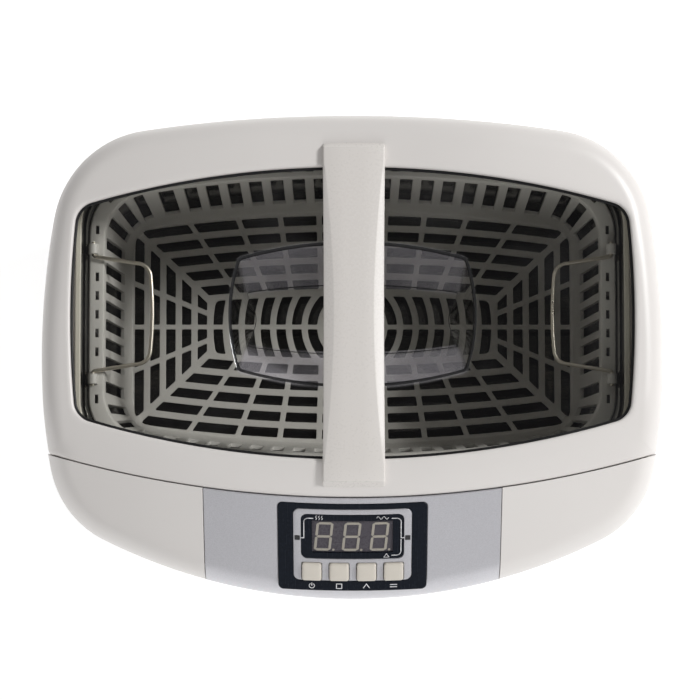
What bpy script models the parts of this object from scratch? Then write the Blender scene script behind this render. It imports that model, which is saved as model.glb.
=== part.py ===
"""Bench-top ultrasonic cleaner: white shell, sloping control apron, stainless tank, lift-out
slotted basket with two folding wire handles, and a rear-hinged lid with a clear window.
Metres, +Z up, front towards -Y. The rubber feet stand on z = 0."""

import math

import bmesh
import bpy
from mathutils import Matrix, Vector

GAP = 0.0003

# Plan shapes: half width, front y, rear y, radii of side, front, rear, front corner, rear corner,
# and the y of the side arc's centre.
BODY = (0.140, -0.1082, 0.1085, 0.3634, 0.2534, 0.6993, 0.0425, 0.0475, 0.002)
LID = (0.1396, -0.063, 0.1081, 0.363, 0.480, 0.6989, 0.003, 0.0471, 0.002)
OPENING = (0.126, -0.0463, 0.084, 0.42, 0.411, 0.452, 0.010, 0.010, 0.019)
WELL = (0.0546, -0.0137, 0.0503, 0.077, 0.182, 0.182, 0.004, 0.004, 0.0183)
TANK_Y = 0.022
TRAY_BOW = 0.62
SEAM_R = 0.480
SEAM_Y = -0.063
SEAM_CENTRE_Y = SEAM_Y + SEAM_R

# Heights
SHELL_BOTTOM = 0.0045
SPLIT_Z = 0.070
DECK_Z = 0.145
LID_Z = 0.1455
CROWN_Z = 0.1805
SIDE_DROP = 0.0075
SIDE_DROP_X = 0.126
FRONT_FALL_WIDTH = 0.026
FRONT_FALL_SLOPE = 0.60
APRON_SLOPE = 0.56
APRON_CURVE = 0.9
WALL = 0.003
EDGE_R = 0.010
APRON_WALL = 0.0035

# Control panel. Panel parts are given by half width or x, and by v, the distance up the slope
# from the panel's middle, which is PANEL_MID in front of the seam.
FASCIA_HALF = 0.0663
FASCIA_T = 0.002
PANEL_MID = 0.0222
OVERLAY_HALF = 0.0334
OVERLAY_V = 0.0224
BEZEL_HALF = 0.0264
BEZEL_V = (-0.0170, 0.0196)
LENS_HALF = 0.0229
LENS_V = (-0.0055, 0.0173)
MODULE_HALF = 0.0187
DIGIT_PITCH = 0.0127
DIGIT_HALF = 0.0039
LAMP_X = 0.0247
LAMP_V = 0.0048
LAMP_HALF = 0.0011
BUTTON_X = (-0.0183, -0.0060, 0.0063, 0.0185)
BUTTON_NAMES = ("on", "off", "set", "mode")
BUTTON_HALF = 0.0044
BUTTON_V = -0.0123

# Tank, basket and handles
TANK_DEPTH = 0.098
RIM_Z = 0.1355
BASKET_FLOOR_Z = 0.066
PIVOT_X = 0.1188
PIVOT_Z = 0.1380
HANDLE_HALF = 0.0262
HANDLE_TAPER = 0.0030
HANDLE_REACH = 0.0272
WIRE_R = 0.0009

# Basket floor: rings of slots, each RING_SLOT wide, and ribs that fan out to the corners.
# Each rib is its x at the ring 52 mm out, and its spread per metre of ring distance.
RING_SLOT = 0.0046
ROW_OUTER = 0.0543
ROW_PITCH = 0.00775
ROW_BOW = 0.70
COLUMN_OUTER = 0.1052
COLUMN_PITCH = 0.0076
RIBS = ((0.0, 0.0), (0.0160, 0.03), (0.0346, 0.15), (0.0543, 0.37), (0.0770, 0.635), (0.1028, 0.941))
RIB_HALF = 0.0013
CORNER_RIB_HALF = 0.0021
CENTRE_RIB_HALF = 0.0011
SIDE_SLOTS = (0.00435, 0.0130, 0.0217, 0.0332)

# Lid
BAR_X = 0.0006
BAR_FRONT = -0.0585
BAR_REAR = 0.0945
HINGE_X = 0.070
HINGE_Y = 0.1005
HINGE_Z = 0.1545
EAR_OFFSET = 0.0076

# Parts let into the back wall
FAN_X = 0.0
FAN_Z = 0.0315
INLET_X = -0.068
INLET_Z = 0.028
FUSE_X = -0.040

# Parts hung under the tank
TRANSDUCER_X = 0.052


def clear_scene():
    for obj in list(bpy.data.objects):
        bpy.data.objects.remove(obj, do_unlink=True)


def material(name, color, metallic=0.0, roughness=0.4, alpha=1.0):
    made = bpy.data.materials.new(name)
    made.use_nodes = True
    shader = made.node_tree.nodes["Principled BSDF"]
    shader.inputs["Base Color"].default_value = (*color, 1.0)
    shader.inputs["Metallic"].default_value = metallic
    shader.inputs["Roughness"].default_value = roughness
    shader.inputs["Alpha"].default_value = alpha
    return made


def add_mesh(name, verts, faces, mat=None):
    mesh = bpy.data.meshes.new(name)
    mesh.from_pydata([tuple(v) for v in verts], [], faces)
    shape = bmesh.new()
    shape.from_mesh(mesh)
    bmesh.ops.recalc_face_normals(shape, faces=shape.faces)
    shape.to_mesh(mesh)
    shape.free()
    obj = bpy.data.objects.new(name, mesh)
    bpy.context.scene.collection.objects.link(obj)
    if mat:
        mesh.materials.append(mat)
    mesh.shade_smooth()
    mesh.set_sharp_from_angle(angle=math.radians(32))
    return obj


def corner_centre(c1, r1, c2, r2, prefer):
    """Centre of the arc that is tangent inside two larger arcs."""
    dx, dy = c2[0] - c1[0], c2[1] - c1[1]
    d = math.hypot(dx, dy)
    along = (r1 * r1 - r2 * r2 + d * d) / (2 * d)
    off = math.sqrt(max(r1 * r1 - along * along, 0.0))
    px, py = c1[0] + along * dx / d, c1[1] + along * dy / d
    options = [(px - off * dy / d, py + off * dx / d), (px + off * dy / d, py - off * dx / d)]
    return max(options, key=lambda p: p[0] + prefer * p[1])


def plan(shape, inset=0.0, counts=(6, 5, 6, 5, 6)):
    """Closed plan outline, counter-clockwise from the middle of the front."""
    half, front, rear, r_side, r_front, r_rear, r_fc, r_rc, side_y = shape
    moved = (half - inset, front + inset, rear - inset, r_side - inset, r_front - inset, r_rear - inset,
             max(r_fc - inset, 0.001), max(r_rc - inset, 0.001), side_y)
    right = []
    for (centre, radius, a, b), count in zip(arcs_of(moved), counts):
        for i in range(count):
            t = a + (b - a) * i / count
            right.append((centre[0] + radius * math.cos(t), centre[1] + radius * math.sin(t)))
    return right + [(0.0, rear - inset)] + [(-x, y) for x, y in reversed(right[1:])]


def bearing(start, end):
    return math.atan2(end[1] - start[1], end[0] - start[0])


def arcs_of(shape):
    """The five arcs of the right-hand half: centre, radius, start and end angle."""
    half, front, rear, r_side, r_front, r_rear, r_fc, r_rc, side_y = shape
    c_front, c_side, c_rear = (0, front + r_front), (half - r_side, side_y), (0, rear - r_rear)
    k_front = corner_centre(c_front, r_front - r_fc, c_side, r_side - r_fc, -1.0)
    k_rear = corner_centre(c_rear, r_rear - r_rc, c_side, r_side - r_rc, 1.0)
    t1, t2 = bearing(c_front, k_front), bearing(c_side, k_front)
    t3, t4 = bearing(c_side, k_rear), bearing(c_rear, k_rear)
    return ((c_front, r_front, -math.pi / 2, t1), (k_front, r_fc, t1, t2), (c_side, r_side, t2, t3),
            (k_rear, r_rc, t3, t4), (c_rear, r_rear, t4, math.pi / 2))


def tray(half_x, half_y, radius):
    """Outline shared by tank and basket: straight ends, and long sides that bow out to half_y."""
    shape = (half_x, TANK_Y - half_y, TANK_Y + half_y, 4.0, TRAY_BOW, TRAY_BOW, radius, radius, TANK_Y)
    return plan(shape, 0.0, (5, 5, 2, 5, 5))


def seam_distance(x, y):
    """How far a plan point lies in front of the lid's front edge."""
    return math.hypot(x, SEAM_CENTRE_Y - y) - SEAM_R


def dome(x, y):
    """Height of the outer skin: lid behind the seam, control apron in front of it."""
    rho = seam_distance(x, y)
    side = max(abs(x) - 0.035, 0.0)
    z = CROWN_Z - SIDE_DROP * (side / (SIDE_DROP_X - 0.035)) ** 2
    bend = FRONT_FALL_SLOPE / (2 * FRONT_FALL_WIDTH)
    z -= bend * max(0.0, FRONT_FALL_WIDTH + min(rho, 0.0)) ** 2
    if rho > 0:
        z -= APRON_SLOPE * rho + APRON_CURVE * rho * rho
    return z


def depth_inside(shape, x, y):
    """Distance of a plan point inside a plan outline."""
    found = []
    for centre, radius, a, b in arcs_of(shape):
        angle = math.atan2(y - centre[1], abs(x) - centre[0])
        if a - 1e-6 <= angle <= b + 1e-6:
            found.append(radius - math.hypot(abs(x) - centre[0], y - centre[1]))
    return max(min(found), 0.0) if found else 0.0


def skin(x, y):
    """The dome with the shell's rounded outer edge."""
    d = depth_inside(BODY, x, y)
    if d >= EDGE_R:
        return dome(x, y)
    return dome(x, y) - EDGE_R + math.sqrt(max(EDGE_R ** 2 - (EDGE_R - d) ** 2, 0.0))


def ring(points, height):
    return [(x, y, height(x, y) if callable(height) else height) for x, y in points]


def loft(name, rings, mat=None, cap_first=False, cap_last=False):
    """Solid through rings of equal count. Without caps the last ring joins the first."""
    count = len(rings[0])
    verts = [p for r in rings for p in r]
    faces = []
    spans = range(len(rings) - 1) if (cap_first or cap_last) else range(len(rings))
    for k in spans:
        a, b = k * count, (k + 1) % len(rings) * count
        for i in range(count):
            j = (i + 1) % count
            faces.append((a + i, a + j, b + j, b + i))
    if cap_first:
        faces.append(tuple(reversed(range(count))))
    if cap_last:
        last = (len(rings) - 1) * count
        faces.append(tuple(range(last, last + count)))
    return add_mesh(name, verts, faces, mat)


def prism(name, points, z0, z1, mat=None):
    return loft(name, [ring(points, z0), ring(points, z1)], mat, True, True)


def box(name, x, y, z, mat=None):
    points = [(x[0], y[0]), (x[1], y[0]), (x[1], y[1]), (x[0], y[1])]
    return prism(name, points, z[0], z[1], mat)


def soft_box(name, x, y, z, mat, edge=0.001):
    obj = box(name, x, y, z, mat)
    bevel(obj, edge)
    return obj


def bevel(obj, width, segments=1):
    made = obj.modifiers.new("edge", "BEVEL")
    made.width = width
    made.segments = segments
    made.limit_method = "ANGLE"
    return made


def tube(name, start, end, radius, mat=None, sides=16, bore=0.0):
    """Round bar, or pipe when it has a bore, between two points."""
    start, end = Vector(start), Vector(end)
    turn = (end - start).to_track_quat("Z", "Y").to_matrix()
    angles = [2 * math.pi * i / sides for i in range(sides)]
    circle = [turn @ Vector((math.cos(t), math.sin(t), 0)) for t in angles]
    rings = [[tuple(centre + radius * way) for way in circle] for centre in (start, end)]
    if bore:
        rings += [[tuple(centre + bore * way) for way in circle] for centre in (end, start)]
        return loft(name, rings, mat)
    return loft(name, rings, mat, True, True)


def join_cutters(name, parts):
    """One cutter from separate closed shapes that do not touch."""
    verts, faces = [], []
    for part in parts:
        base = len(verts)
        verts += [part.matrix_world @ v.co for v in part.data.vertices]
        faces += [tuple(base + i for i in p.vertices) for p in part.data.polygons]
        bpy.data.objects.remove(part, do_unlink=True)
    mesh = bpy.data.meshes.new(name)
    mesh.from_pydata([tuple(v) for v in verts], [], faces)
    obj = bpy.data.objects.new(name, mesh)
    bpy.context.scene.collection.objects.link(obj)
    return obj


def combine(target, tool, operation):
    """Boolean, applied at once, so the tool can go."""
    made = target.modifiers.new(operation.lower(), "BOOLEAN")
    made.operation = operation
    made.object = tool
    made.solver = "EXACT"
    graph = bpy.context.evaluated_depsgraph_get()
    mesh = bpy.data.meshes.new_from_object(target.evaluated_get(graph))
    target.modifiers.clear()
    target.data = mesh
    bpy.data.objects.remove(tool, do_unlink=True)
    mesh.shade_smooth()
    mesh.set_sharp_from_angle(angle=math.radians(32))
    return target


def cut(target, tool):
    return combine(target, tool, "DIFFERENCE")


def fuse(target, tool):
    return combine(target, tool, "UNION")


# ---------------------------------------------------------------- outer shell

def skin_rings():
    """Outer skin of the upper shell from the split line up over the rounded edge."""
    rings = [ring(plan(BODY, i), z) for i, z in ((0.0030, SPLIT_Z + 0.0002), (0.0008, 0.100), (0.0, 0.120))]
    for inset in (0.0002, 0.0011, 0.0031, 0.0062, EDGE_R):
        rings.append(ring(plan(BODY, inset), skin))
    return rings


def skin_cap_rings(first):
    """Rings from the rounded edge inwards, one of them just behind the seam."""
    inner = plan(LID, 0.022)
    outer = [(x, y) for x, y, _ in first]
    rings = []
    for t in (0.3, 0.6, 1.0):
        points = [(a[0] + (b[0] - a[0]) * t, a[1] + (b[1] - a[1]) * t) for a, b in zip(outer, inner)]
        rings.append(ring(points, dome))
    return rings


def apron_hollow(name, floor_z):
    """Space under the control apron, between the seam and the front wall."""
    columns, rows = 8, 4
    top, low = [], []
    for i in range(columns + 1):
        x = -0.094 + 0.188 * i / columns
        y_front = front_y(x, 0.010)
        y_seam = SEAM_CENTRE_Y - math.sqrt((SEAM_R + 0.005) ** 2 - x * x)
        for j in range(rows + 1):
            y = y_seam + (y_front - y_seam) * j / rows
            top.append((x, y, dome(x, y) - APRON_WALL - FASCIA_T))
            low.append((x, y, floor_z))
    return grid_solid(name, top, low, columns, rows)


def grid_solid(name, top, low, columns, rows, mat=None):
    """Solid between two point grids, each listed column by column."""
    step = rows + 1
    count = (columns + 1) * step
    faces = []
    for i in range(columns):
        for j in range(rows):
            a = i * step + j
            b, c, d = a + 1, a + step + 1, a + step
            faces += [(a, b, c, d), (count + d, count + c, count + b, count + a)]
    edge = [i * step for i in range(columns)] + [columns * step + j for j in range(rows)]
    edge += [i * step + rows for i in range(columns, 0, -1)] + list(range(rows, 0, -1))
    for a, b in zip(edge, edge[1:] + edge[:1]):
        faces.append((b, a, count + a, count + b))
    return add_mesh(name, top + low, faces, mat)


def front_y(x, inset):
    """The y of the body's front face at x, or of a line that far inside it."""
    return BODY[1] + BODY[4] - math.sqrt((BODY[4] - inset) ** 2 - x * x)


def front_profile(x):
    """Outer skin in the slice at x, from the seam down to the split line, as (y, z)."""
    start = SEAM_CENTRE_Y - math.sqrt((SEAM_R + 0.0006) ** 2 - x * x)
    stop = front_y(x, EDGE_R)
    slope = [start + (stop - start) * t / 5 for t in range(6)]
    points = [(y, dome(x, y)) for y in slope]
    for inset in (0.0062, 0.0031, 0.0011, 0.0002):
        y = front_y(x, inset)
        points.append((y, skin(x, y)))
    for inset, z in ((0.0, 0.120), (0.0008, 0.100), (0.0030, SPLIT_Z + 0.0002)):
        points.append((front_y(x, inset), z))
    return points


def offset_profile(points, distance):
    """The slice moved along its own outward normal."""
    moved = []
    for i, (y, z) in enumerate(points):
        a, b = points[max(i - 1, 0)], points[min(i + 1, len(points) - 1)]
        dy, dz = b[0] - a[0], b[1] - a[1]
        size = math.hypot(dy, dz)
        moved.append((y + dz / size * distance, z - dy / size * distance))
    return moved


def fascia_strip(name, half, outer, inner, grow, mat=None):
    """Skin-following strip round the middle of the front, between two offsets."""
    columns = 8
    top, low = [], []
    for i in range(columns + 1):
        x = -half + 2 * half * i / columns
        points = front_profile(x)
        first, last = points[0], points[-1]
        rise = dome(x, first[0]) - dome(x, first[0] + 0.001)
        points[0] = (first[0] + grow, first[1] - rise * grow / 0.001 * -0.5)
        points[-1] = (last[0], last[1] - grow)
        top += [(x, y, z) for y, z in offset_profile(points, outer)]
        low += [(x, y, z) for y, z in offset_profile(points, -inner)]
    return grid_solid(name, top, low, columns, len(front_profile(0.0)) - 1, mat)


def build_upper_shell(white):
    rings = skin_rings()
    rings += skin_cap_rings(rings[-1])
    shell = loft("upper_housing", rings, white, True, True)
    cut(shell, prism("pocket", plan(LID, -0.0009), DECK_Z, 0.2))
    cut(shell, prism("cavity", plan(BODY, 0.0065), 0.060, 0.1310))
    cut(shell, apron_hollow("under_apron", 0.1300))
    cut(shell, prism("under_deck", plan(LID, 0.008), 0.1300, DECK_Z - WALL))
    cut(shell, fascia_strip("fascia_seat", FASCIA_HALF + GAP, 0.02, FASCIA_T + GAP, 0.002))
    cut(shell, prism("tank_hole", tray(0.1251, 0.0735, 0.0252), 0.120, 0.150))
    cut(shell, panel_patch("panel_hole", 0.0255, (-0.0175, 0.0190), 0.004, 0.020, None, 4, 2))
    for side in (-1, 1):
        for offset in (-EAR_OFFSET, EAR_OFFSET):
            x = side * HINGE_X + offset
            fuse(shell, hinge_ear("ear", x, 0.0022, DECK_Z - 0.001))
    return shell


def hinge_ear(name, x, half, low):
    """Rounded lug round the hinge axis with the pin's bore through it."""
    radius, bore, sides = 0.0032, 0.00156, 16
    spin = [(HINGE_Y + radius * math.cos(t), HINGE_Z + radius * math.sin(t))
            for t in [math.pi * i / 8 for i in range(9)]]
    outline = spin + [(HINGE_Y - radius, low), (HINGE_Y + radius, low)]
    left = [(x - half, y, z) for y, z in outline]
    right = [(x + half, y, z) for y, z in outline]
    ear = loft(name, [left, right], None, True, True)
    return cut(ear, tube("bore", (x - half - 0.002, HINGE_Y, HINGE_Z), (x + half + 0.002, HINGE_Y, HINGE_Z),
                         bore, None, sides))


def build_lower_shell(white):
    top = SPLIT_Z - GAP
    outer = ((0.0150, SHELL_BOTTOM), (0.0120, 0.0060), (0.0105, 0.012), (0.0062, 0.040), (0.0032, top))
    inner = ((0.0062, top), (0.0092, 0.040), (0.0135, 0.012), (0.0160, 0.0085), (0.0180, SHELL_BOTTOM))
    shell = loft("lower_housing", [ring(plan(BODY, i), z) for i, z in outer + inner], white)
    slots = [box("slot", (x - 0.0012, x + 0.0012), (0.080, 0.12), (0.018, 0.046))
             for x in [FAN_X + 0.0055 * (i - 3) for i in range(7)]]
    slots += [box("slot", (side * 0.125 - 0.02, side * 0.125 + 0.02), (y - 0.0012, y + 0.0012),
                  (0.024, 0.044))
              for side in (-1, 1) for y in [-0.03 + 0.0075 * i for i in range(9)]]
    slots.append(box("inlet", (INLET_X - 0.0140, INLET_X + 0.0140), (0.080, 0.12),
                     (INLET_Z - 0.0100, INLET_Z + 0.0100)))
    cut(shell, join_cutters("openings", slots))
    cut(shell, tube("fuse_hole", (FUSE_X, 0.08, INLET_Z), (FUSE_X, 0.12, INLET_Z), 0.0063))
    return shell


# ---------------------------------------------------------------- control panel

PANEL_TILT = math.atan(APRON_SLOPE + 2 * APRON_CURVE * PANEL_MID)


def panel_point(x, v, out=0.0):
    """A point on the apron skin: v up the slope from the panel's middle, out along its normal."""
    rho = PANEL_MID - v * math.cos(PANEL_TILT)
    y = SEAM_CENTRE_Y - math.sqrt((SEAM_R + rho) ** 2 - x * x)
    return (x, y - out * math.sin(PANEL_TILT), dome(x, y) + out * math.cos(PANEL_TILT))


def panel_block(name, x0, x1, v0, v1, top, depth, mat=None, columns=4, rows=2):
    """Block that follows the apron, from top above the skin to depth below it."""
    high, low = [], []
    for i in range(columns + 1):
        x = x0 + (x1 - x0) * i / columns
        for j in range(rows + 1):
            v = v0 + (v1 - v0) * j / rows
            high.append(panel_point(x, v, top))
            low.append(panel_point(x, v, -depth))
    return grid_solid(name, high, low, columns, rows, mat)


def panel_patch(name, half, v, top, depth, mat=None, columns=8, rows=4):
    """Block centred across the panel, given by its half width and its lowest and highest v."""
    return panel_block(name, -half, half, v[0], v[1], top, depth, mat, columns, rows)


def square_block(name, x, v, half, top, depth, mat=None, columns=1):
    return panel_block(name, x - half, x + half, v - half, v + half, top, depth, mat, columns, columns)


def widened(span, by):
    return (span[0] - by, span[1] + by)


def bezel_holes():
    room = BUTTON_HALF + 0.0004
    holes = [square_block("hole", x, BUTTON_V, room, 0.004, 0.006, None, 2) for x in BUTTON_X]
    for side in (-1, 1):
        holes.append(square_block("hole", side * LAMP_X, LAMP_V, LAMP_HALF + GAP, 0.003, 0.003))
    return join_cutters("bezel_holes", holes)


def build_panel(mats):
    """Fascia, film, bezel and lens, each let into the one before, with the display and its board behind."""
    build_fascia(mats["silver"])
    sheet_v = (-OVERLAY_V, OVERLAY_V)
    overlay = panel_patch("control_overlay", OVERLAY_HALF, sheet_v, 0.0002, 0.0009, mats["navy"])
    cut(overlay, panel_patch("bezel_seat", BEZEL_HALF + GAP, widened(BEZEL_V, GAP), 0.004, 0.004))
    bezel = panel_patch("display_bezel", BEZEL_HALF, BEZEL_V, 0.0004, 0.0009, mats["silver"])
    cut(bezel, bezel_holes())
    cut(bezel, panel_patch("lens_seat", LENS_HALF + GAP, widened(LENS_V, GAP), 0.004, 0.004))
    panel_patch("display_window", LENS_HALF, LENS_V, 0.0002, 0.0009, mats["lens"], 4, 2)
    build_display(mats["dark"])
    for side, name in ((-1, "left"), (1, "right")):
        square_block("indicator_led_" + name, side * LAMP_X, LAMP_V, LAMP_HALF, 0.0005, 0.0010,
                     mats["lamp"])
    for x, name in zip(BUTTON_X, BUTTON_NAMES):
        build_button(x, name, mats["button"])
        build_switch(x, name, mats["dark"])
    board = soft_box("control_board", (-0.0245, 0.0245), (-0.0168, 0.0175), (-0.0104, -0.0090),
                     mats["board"], 0.0002)
    lay_on_panel(board, 0.0, 0.0)


def build_fascia(mat):
    """Silver band down the front, with a seat for the film and a hole for the display."""
    fascia = fascia_strip("control_fascia", FASCIA_HALF, 0.0, FASCIA_T, 0.0, mat)
    seat_v = (-OVERLAY_V - GAP, OVERLAY_V + GAP)
    cut(fascia, panel_patch("overlay_seat", OVERLAY_HALF + GAP, seat_v, 0.004, 0.0012, None, 4, 2))
    cut(fascia, panel_patch("panel_window", 0.0251, (-0.0172, 0.0187), 0.004, 0.004, None, 4, 2))


def build_display(mat):
    """Display block with one sunk well for each digit."""
    module = panel_patch("display_module", MODULE_HALF, (-0.0025, 0.0145), -0.0014, 0.0085, mat, 4, 1)
    wells = []
    for x in (-DIGIT_PITCH, 0.0, DIGIT_PITCH):
        wells.append(panel_block("digit", x - DIGIT_HALF, x + DIGIT_HALF, -0.0001, 0.0121, -0.0010, 0.0018,
                                 None, 1, 1))
    cut(module, join_cutters("digit_wells", wells))


def build_switch(x, name, mat):
    half = 0.003
    switch = soft_box("tact_switch_" + name, (-half, half), (-half, half), (-0.0082, -0.0048), mat, 0.0004)
    lay_on_panel(switch, x, BUTTON_V)


def lay_on_panel(obj, x, v):
    """Turns a shape built flat at the origin on to the panel's plane."""
    obj.matrix_world = Matrix.Translation(panel_point(x, v)) @ Matrix.Rotation(PANEL_TILT, 4, "X")


def build_button(x, name, mat):
    """Square cap standing proud of the bezel, with a stem that reaches for its switch."""
    cap = square_block("cap", x, BUTTON_V, BUTTON_HALF, 0.0016, 0.0024, None, 2)
    bevel(cap, 0.0007, 2)
    shape = bpy.data.meshes.new_from_object(cap.evaluated_get(bpy.context.evaluated_depsgraph_get()))
    cap.modifiers.clear()
    cap.data = shape
    button = fuse(cap, square_block("stem", x, BUTTON_V, 0.0015, -0.001, 0.0036))
    button.name = "button_" + name
    pivot = Vector(panel_point(x, BUTTON_V))
    button.data.transform(Matrix.Translation(-pivot))
    button.location = pivot
    button.data.materials.clear()
    button.data.materials.append(mat)


# ---------------------------------------------------------------- tank and what hangs under it

def build_tank(mats):
    bottom = DECK_Z - TANK_DEPTH
    inner = (
        (0.0990, 0.0474, 0.0130, bottom + 0.0010), (0.1110, 0.0594, 0.0190, bottom + 0.0022),
        (0.1140, 0.0624, 0.0212, bottom + 0.0090), (0.1185, 0.0668, 0.0225, DECK_Z - 0.0140),
        (0.1195, 0.0676, 0.0228, DECK_Z - 0.0125), (0.1226, 0.0708, 0.0236, DECK_Z - 0.0120),
        (0.1232, 0.0716, 0.0238, DECK_Z - 0.0108), (0.1236, 0.0720, 0.0240, DECK_Z + 0.0008),
        (0.1242, 0.0726, 0.0245, DECK_Z + 0.0016), (0.1262, 0.0744, 0.0264, DECK_Z + 0.0016))
    outer = (
        (0.1262, 0.0744, 0.0264, DECK_Z + 0.0008), (0.1248, 0.0732, 0.0250, DECK_Z + 0.0008),
        (0.1242, 0.0726, 0.0246, DECK_Z - 0.0112), (0.1232, 0.0715, 0.0240, DECK_Z - 0.0130),
        (0.1198, 0.0680, 0.0234, DECK_Z - 0.0135), (0.1148, 0.0632, 0.0217, bottom + 0.0088),
        (0.1117, 0.0601, 0.0195, bottom + 0.0012), (0.0992, 0.0476, 0.0130, bottom))
    loft("tank", [ring(tray(a, b, r), z) for a, b, r, z in inner + outer], mats["steel"], True, True)
    edge, lip = tray(0.1261, 0.0743, 0.0263), tray(0.1254, 0.0738, 0.0256)
    low, high = DECK_Z + GAP, DECK_Z + 0.0006
    loft("tank_gasket", [ring(edge, low), ring(edge, high), ring(lip, high), ring(lip, low)], mats["rubber"])
    for side, name in ((-1, "left"), (1, "right")):
        build_transducer(side * TRANSDUCER_X, bottom, name, mats)
    soft_box("heater_mat", (-0.026, 0.026), (TANK_Y - 0.036, TANK_Y + 0.036),
             (bottom - 0.0021, bottom - GAP), mats["heater"], 0.0004)
    tube("temperature_sensor", (0.0, TANK_Y - 0.048, bottom - 0.0065), (0.0, TANK_Y - 0.040, bottom - 0.0065),
         0.0025, mats["brass"], 12)


def build_transducer(x, bottom, name, mats):
    """Horn against the tank's floor, then the ceramic block, the back mass and the bolt through them."""
    top = bottom - GAP
    rings = []
    for r, drop in ((0.0220, 0.0), (0.0220, 0.0030), (0.0170, 0.0125), (0.0045, 0.0125), (0.0045, 0.0060)):
        angles = [math.pi * i / 10 for i in range(20)]
        rings.append([(x + r * math.cos(t), TANK_Y + r * math.sin(t), top - drop) for t in angles])
    loft("transducer_horn_" + name, rings, mats["aluminium"], True, True)
    stack = (("piezo", 0.0128, 0.0208, 0.0175, "ceramic", 20, 0.0060),
             ("mass", 0.0211, 0.0290, 0.0175, "zinc", 20, 0.0045),
             ("bolt", 0.0070, 0.0325, 0.0035, "zinc", 12, 0.0))
    for kind, high, low, radius, mat, sides, bore in stack:
        tube(f"transducer_{kind}_{name}", (x, TANK_Y, top - high), (x, TANK_Y, top - low), radius, mats[mat],
             sides, bore)


# ---------------------------------------------------------------- electronics and base

def build_inside(mats):
    soft_box("driver_board", (-0.055, 0.060), (-0.0716, -0.0700), (0.012, 0.105), mats["board"], 0.0002)
    sink = box("heat_sink", (0.018, 0.052), (-0.0930, -0.0720), (0.050, 0.098), mats["aluminium"])
    fins = [box("fin", (x - 0.0017, x + 0.0017), (-0.0945, -0.0755), (0.049, 0.099))
            for x in [0.0225 + 0.0062 * i for i in range(5)]]
    cut(sink, join_cutters("fins", fins))
    tube("coil", (-0.022, -0.0720, 0.074), (-0.022, -0.0820, 0.074), 0.014, mats["copper"], 20, 0.0065)
    soft_box("relay", (-0.050, -0.038), (-0.0880, -0.0720), (0.030, 0.045), mats["relay"], 0.0006)
    soft_box("filter_capacitor", (0.020, 0.046), (-0.0860, -0.0720), (0.018, 0.036), mats["capacitor"], 0.001)
    build_cable(mats["cable"])
    frame = box("fan_frame", (FAN_X - 0.020, FAN_X + 0.020), (0.0835, 0.0935), (FAN_Z - 0.020, FAN_Z + 0.020),
                mats["dark"])
    cut(frame, tube("fan_bore", (FAN_X, 0.080, FAN_Z), (FAN_X, 0.100, FAN_Z), 0.0185, None, 28))
    strut_z = (FAN_Z - 0.0012, FAN_Z + 0.0012)
    fuse(frame, box("strut", (FAN_X - 0.0195, FAN_X + 0.0195), (0.0835, 0.0850), strut_z))
    build_impeller(mats["dark"])
    inlet = soft_box("power_inlet", (INLET_X - 0.0137, INLET_X + 0.0137), (0.078, 0.1020),
                     (INLET_Z - 0.0097, INLET_Z + 0.0097), mats["dark"], 0.0012)
    socket_z = (INLET_Z - 0.0075, INLET_Z + 0.0075)
    cut(inlet, box("socket", (INLET_X - 0.0115, INLET_X + 0.0115), (0.086, 0.110), socket_z))
    for dx, dz in ((-0.007, -0.0015), (0.0, 0.0020), (0.007, -0.0015)):
        z = INLET_Z + dz
        x = INLET_X + dx
        fuse(inlet, box("pin", (x - 0.0009, x + 0.0009), (0.080, 0.0995), (z - 0.002, z + 0.002)))
    tube("fuse_holder", (FUSE_X, 0.078, INLET_Z), (FUSE_X, 0.1030, INLET_Z), 0.0059, mats["dark"], 20)


def build_cable(mat):
    """Flat cable from the driver board's top edge up to the control board."""
    path = [(-0.0735, 0.0940), (-0.0735, 0.1060), (-0.0800, 0.1150), (-0.0815, 0.1270), (-0.0760, 0.1380)]
    outline = path + [(y - 0.0009, z) for y, z in reversed(path)]
    ends = [[(x, y, z) for y, z in outline] for x in (-0.018, -0.002)]
    loft("flat_cable", ends, mat, True, True)


def build_impeller(mat):
    hub = tube("fan_impeller", (0, 0.0858, 0), (0, 0.0930, 0), 0.0075, mat, 16)
    for i in range(7):
        blade = box("blade", (0.006, 0.0178), (0.0864, 0.0924), (-0.0007, 0.0007))
        turn = Matrix.Translation((0, 0.0894, 0)) @ Matrix.Rotation(math.radians(28), 4, "X")
        round_hub = Matrix.Rotation(2 * math.pi * i / 7, 4, "Y")
        blade.data.transform(round_hub @ turn @ Matrix.Translation((0, -0.0894, 0)))
        fuse(hub, blade)
    hub.location = (FAN_X, 0.0, FAN_Z)
    return hub


def build_base(mats):
    plate = prism("base_plate", plan(BODY, 0.0183), SHELL_BOTTOM, 0.0065, mats["zinc"])
    holes = [box("vent", (x - 0.0012, x + 0.0012), (y - 0.012, y + 0.012), (0.0, 0.01))
             for x in [-0.040 + 0.010 * i for i in range(9)] for y in (-0.035, 0.045)]
    spots = [(sx * 0.094, y) for sx in (-1, 1) for y in (-0.058, 0.070)]
    holes += [tube("screw_hole", (x * 0.78, y * 0.9, 0.0), (x * 0.78, y * 0.9, 0.01), 0.0022, None, 10)
              for x, y in spots]
    cut(plate, join_cutters("plate_holes", holes))
    for (x, y), name in zip(spots, ("left_front", "left_rear", "right_front", "right_rear")):
        foot = tube("foot_" + name, (x, y, 0.0), (x, y, SHELL_BOTTOM - GAP), 0.0085, mats["rubber"], 20)
        bevel(foot, 0.0008)
        screw = tube("base_screw_" + name, (x * 0.78, y * 0.9, 0.0024), (x * 0.78, y * 0.9, 0.0042), 0.0034,
                     mats["zinc"], 12)
        fuse(screw, tube("shank", (x * 0.78, y * 0.9, 0.0035), (x * 0.78, y * 0.9, 0.0095), 0.0016, None, 10))


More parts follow.
